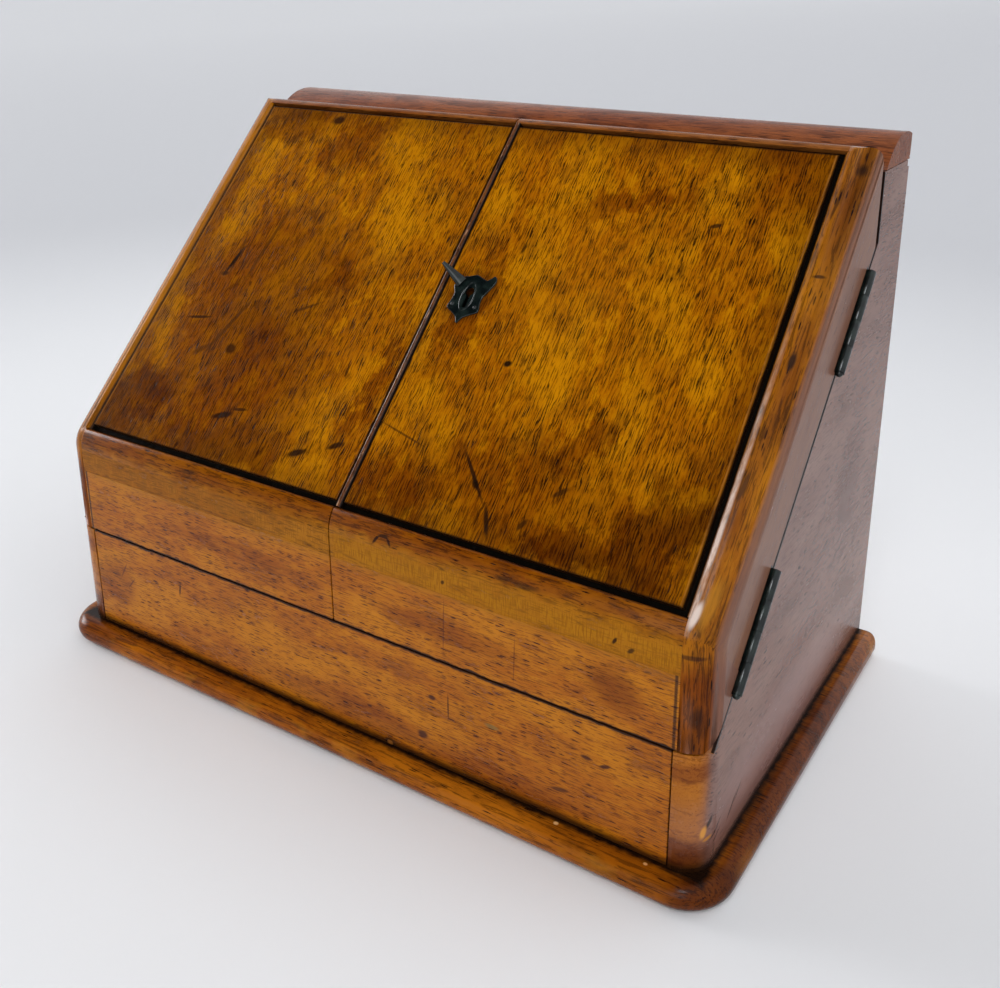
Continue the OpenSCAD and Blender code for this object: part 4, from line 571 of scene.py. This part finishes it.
def front_wear(tree, board, colour):
    side, up, out = add(tree, "SeparateXYZ", links={"Vector": board}).outputs
    ragged = add(tree, "TexNoise", {"Scale": 1000 / 7.143, "Detail": 5}, {"Vector": board})
    height = add(tree, "Math", {"operation": "MULTIPLY_ADD", 1: 0.0026}, {0: ragged, 2: up})
    colour = paint(tree, colour, "#9A620E", near(tree, height, board_top, 0.002, 0.011, 0.75))
    joint = near(tree, height, drawer_top, 0.0006, 0.0015, 0.95)
    outside = add(tree, "Math", {"operation": "GREATER_THAN", 1: face_start}, {0: out})
    colour = paint(tree, colour, "#1A0D08", joint, outside)
    colour = paint(tree, colour, "#140A06", near(tree, up, plinth_top - 0.001, 0.0022, 0.0065, 0.9))
    wide = add(tree, "Math", {"operation": "ABSOLUTE"}, {0: side})
    colour = paint(tree, colour, "#1A0C08", near(tree, wide, stile_edge, 0.0003, 0.001, 0.8))
    colour = spots(tree, board, colour, (
        (-150, 40, 80, 16, 14, "#B89890", 0.6), (60, 82, 0, 40, 6, "#B89480", 0.5),
        (140, 84, 70, 10, 14, "#A88878", 0.7), (0, 24, 0, 60, 9, "#B08870", 0.5),
        (-60, 84, 0, 50, 5, "#B89880", 0.5), (90, 20, 0, 50, 6, "#B08870", 0.5)), "MULTIPLY", face=front_face)
    return spots(tree, board, colour, (
        (47.5, 25.6, 0, 3, 2.2, "#3A1A12", 0.9), (61.5, 45, 90, 7, 0.5, "#3A1C10", 0.8),
        (84, 44, 0, 4, 1.2, "#7A6030", 0.8), (53, 46.5, 0, 2.2, 1.4, "#3A1A12", 0.9),
        (129, 47.6, 0, 3, 1, "#3A1A12", 0.9), (137.5, 46.8, 20, 3, 1, "#3A1A12", 0.9),
        (-103, 50, 80, 4, 0.7, "#2A120C", 0.85), (-145, 48, 60, 6, 0.5, "#4A2414", 0.7),
        (117, 27, 10, 5, 1.2, "#3A1A12", 0.8), (-140, 42, 50, 5, 0.5, "#4A2414", 0.7),
        (60, 84, 88, 14, 0.4, "#4A2010", 0.6), (95, 80, 88, 12, 0.4, "#4A2010", 0.5),
        (28.75, 13.75, 0, 3.2, 2.6, "#1E100A", 0.9), (28.75, 13.75, 0, 1.8, 1.3, "#7A4A1C", 0.9)),
        face=front_face)


front_wood = waxed_wood("polished_mahogany_front", ("#9C560C", "#B8720E", "#743C12", "#3A1810"),
                        turn=(-90, 0, 0), fleck=(6, 1.0), many=0.6, line=(7, 0.6), lined=0.5, patch=(22, 8),
                        tone=(60, 24), wear=front_wear, rough=(0.18, 0.3))
dress(front_wood, "drawer_front", "door_front_board_left", "door_front_board_right")

# Lid and the doors' top rails: purple-brown mahogany, polished, the grain running across.
# The lid is hinged at the back, and the top rails are tongued between the stiles.
top_wood = waxed_wood("polished_mahogany_top", ("#743A1C", "#8C4E28", "#4C2414", "#1E0A08"), fleck=(10, 1.2),
                      many=0.5, line=(12, 0.8), lined=0.45, patch=(26, 7), rough=(0.22, 0.34), shine=0.2)
dress(top_wood, "lid_board")
dress(waxed_wood("polished_mahogany_top_rails", ("#784014", "#8C5422", "#50260E", "#240E06"), fleck=(9, 1.2),
                 many=0.4, line=(10, 0.8), lined=0.35, patch=(26, 7), rough=(0.2, 0.32), shine=0.15),
      "door_top_rail_left", "door_top_rail_right")

# Bead: a half-round slip glued to the meeting edge of the right door.
# Nearly black with dirt on both flanks, rubbed brown along its crown, with pale nicks.
bead_middle = 0.0005


def bead_wear(tree, board, colour):
    spread = add(tree, "Mapping", {"Scale": per_metre(1.111, 6.25, 1.111)}, {"Vector": board})
    chips = add(tree, "TexNoise", {"Scale": 1, "Detail": 3}, {"Vector": spread})
    pale = add(tree, "MapRange", {"From Min": 0.6, "From Max": 0.68, "To Max": 0.8}, {"Value": chips})
    colour = paint(tree, colour, "#B08868", pale)
    side = add(tree, "SeparateXYZ", links={"Vector": board}).outputs["X"]
    crown = near(tree, side, bead_middle, 0.0004, 0.0012)
    flank = add(tree, "Math", {"operation": "SUBTRACT", 0: 1}, {1: crown})
    return paint(tree, colour, "#120A06", flank)


dress(waxed_wood("polished_mahogany_bead", ("#5C3010", "#744216", "#301608", "#100804"), along=1,
                 turn=slope_turn, move=slope_move, fleck=(5, 1.0), line=(7, 0.8), wear=bead_wear,
                 rough=(0.2, 0.3)), "door_bead", edge=0.0006)


# Brass fittings. The hinges, the escutcheon and the screws below have gone black and greenish.
# The lock, the slide bolt and the lid's hinges, out of the air, are still dull yellow.
def old_brass(name, colours, metallic, rough):
    """Tarnished brass. Colours are the tone and that of its blotches; it is finely pitted all over."""
    material = bpy.data.materials.new(name)
    material.use_nodes = True
    tree = material.node_tree
    tree.nodes.clear()
    place = add(tree, "TexCoord").outputs["Object"]
    blotch = add(tree, "TexNoise", {"Scale": 1000 / 4.167, "Detail": 4}, {"Vector": place})
    fine = add(tree, "TexNoise", {"Scale": 1000 / 0.4167, "Detail": 2}, {"Vector": place})
    amount = add(tree, "MapRange", {"From Min": 0.42, "From Max": 0.62}, {"Value": blotch})
    ground, stain = (linear(colour) for colour in colours)
    colour = add(tree, "MixRGB", {"Color1": ground, "Color2": stain}, {"Fac": amount})
    dull = add(tree, "MapRange", {"From Min": 0.35, "From Max": 0.65, "To Min": rough[0], "To Max": rough[1]},
               {"Value": blotch})
    pit = add(tree, "Bump", {"Strength": 0.15, "Distance": 0.00005}, {"Height": blotch})
    pit = add(tree, "Bump", {"Strength": 0.3, "Distance": 0.00003}, {"Height": fine, "Normal": pit})
    metal = add(tree, "BsdfPrincipled", {"Metallic": metallic},
                {"Base Color": colour, "Roughness": dull, "Normal": pit})
    add(tree, "OutputMaterial", links={"Surface": metal})
    return material


black_brass = old_brass("blackened_brass", ("#0D1414", "#1A2522"), 0.3, (0.1, 0.22))
dress(black_brass, *[n for n in node if "hinge" in n and "lid" not in n], "escutcheon_pins", "plinth_screws",
      edge=0.0001)

# Escutcheon: a cast shield of blackened brass with a raised lip round the keyhole, pinned to the right panel.
# Its left horn has been bent up off the wood. Sizes in millimetres, from the middle of the keyhole.
plate_thick, hole_round, slit_wide, slit_long = 0.9, 2.2, 2.2, 8.5
lip_wide, lip_long, lip_band = 3.3, 7.4, 3.2
horn_long, horn_root = 13, Vector((-6.4, 4.0, 0.7))
keyhole_place = Vector((17.5, 120.02, 0))
half = ((0, -17), (1.9, -13.7), (5.8, -11.3), (8.7, -9.4), (7.9, -5), (7.9, -1.7), (9.9, 2.5), (11.5, 7.1),
        (9.7, 10), (6.7, 7.2), (3.8, 7.9), (0, 9.2))
# the outline is mirrored, but without the left horn, and rounded by a curve through its points
rim = [Vector(p) for p in half] + [Vector((-x, y)) for x, y in half[-2:0:-1] if y < 3 or x < 7]
round_rim = []
for i, here in enumerate(rim):
    before, after, beyond = rim[i - 1], rim[(i + 1) % len(rim)], rim[(i + 2) % len(rim)]
    for step in (0, 0.34, 0.67):
        bow = (after - before) * step / 2 + (before * 2 - here * 5 + after * 4 - beyond) * step ** 2 / 2
        bow += (here * 3 - before - after * 3 + beyond) * step ** 3 / 2
        round_rim.append(here + bow * 0.9)
bpy.ops.mesh.primitive_circle_add(vertices=len(round_rim), radius=1, fill_type="NGON", location=(0, 0, 0))
shield = bpy.context.object
shield.name = "cast_escutcheon"
for vertex, spot in zip(shield.data.vertices, round_rim):
    vertex.co = (spot.x, spot.y, 0)
bpy.ops.object.mode_set(mode="EDIT")
bpy.ops.mesh.select_all(action="SELECT")
bpy.ops.mesh.normals_make_consistent(inside=False)
bpy.ops.object.mode_set(mode="OBJECT")
for kind, settings in (("SOLIDIFY", {"thickness": plate_thick, "offset": 1}),
                       ("BEVEL", {"width": 0.35, "segments": 3, "limit_method": "ANGLE"})):
    change = shield.modifiers.new(kind.lower(), kind)
    for key, value in settings.items():
        setattr(change, key, value)
    bpy.ops.object.modifier_apply(modifier=change.name)
bpy.ops.mesh.primitive_cylinder_add(vertices=40, radius=hole_round, depth=6, location=(0, 0, 0))
hole = bpy.context.object
bpy.ops.mesh.primitive_cube_add(size=1, location=(0, -slit_long / 2, 0), scale=(slit_wide, slit_long, 6))
slit = bpy.context.object
for cutter in (hole, slit):
    bpy.context.view_layer.objects.active = shield
    change = shield.modifiers.new("keyhole", "BOOLEAN")
    change.object = cutter
    bpy.ops.object.modifier_apply(modifier=change.name)
    bpy.data.objects.remove(cutter)
# the raised lip is a ring drawn out into a long oval
bpy.ops.mesh.primitive_torus_add(major_radius=1, minor_radius=0.13, major_segments=48, minor_segments=12,
                                 location=(0, -2.6, 0.85))
lip = bpy.context.object
for vertex in lip.data.vertices:
    away = Vector((vertex.co.x, vertex.co.y, 0)).normalized()
    middle = vertex.co - away
    vertex.co = (away.x * lip_wide + middle.x * lip_band, away.y * lip_long + middle.y * lip_band,
                 middle.z * lip_band / 2)
# the left horn is a flattened cone that sags a little on its way up
aim = Vector((-0.696, 0.37, 0.616))
bpy.ops.mesh.primitive_cone_add(vertices=20, radius1=3.0, radius2=0.8, depth=horn_long, location=(0, 0, 0))
horn = bpy.context.object
turn_up = aim.to_track_quat("Z", "Y").to_matrix()
for vertex in horn.data.vertices:
    way_up = vertex.co.z / horn_long + 0.5
    flat = Vector((vertex.co.x, vertex.co.y * 0.62, vertex.co.z + horn_long / 2))
    vertex.co = turn_up @ flat + horn_root - Vector((0, 0, 0.9 * math.sin(way_up * math.pi)))
bpy.ops.object.select_all(action="DESELECT")
for piece in (lip, horn, shield):
    piece.select_set(True)
bpy.context.view_layer.objects.active = shield
bpy.ops.object.join()
bpy.ops.object.transform_apply(location=True, rotation=True, scale=True)
tilt = Matrix.Rotation(slope, 3, "X")
for vertex in shield.data.vertices:
    vertex.co = tilt @ ((vertex.co + keyhole_place) / 1000 - Vector(slope_move))
bpy.ops.object.shade_smooth_by_angle(angle=math.radians(35))
shield.data.materials.clear()
shield.data.materials.append(black_brass)
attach(shield, "door_right")
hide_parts("escutcheon")

# Lock, strike plate, slide bolt and the lid's hinges, with their screws: sawn and filed brass, screwed on.
# Out of the air it is still yellow, with a dull gleam.
yellow_brass = old_brass("dull_brass", ("#8A6C34", "#9C7E3C"), 1.0, (0.32, 0.48))
dress(yellow_brass, *[n for n in node if "lock" in n or "slide" in n or "lid_hinge" in n or "strike" in n],
      edge=0.0001)
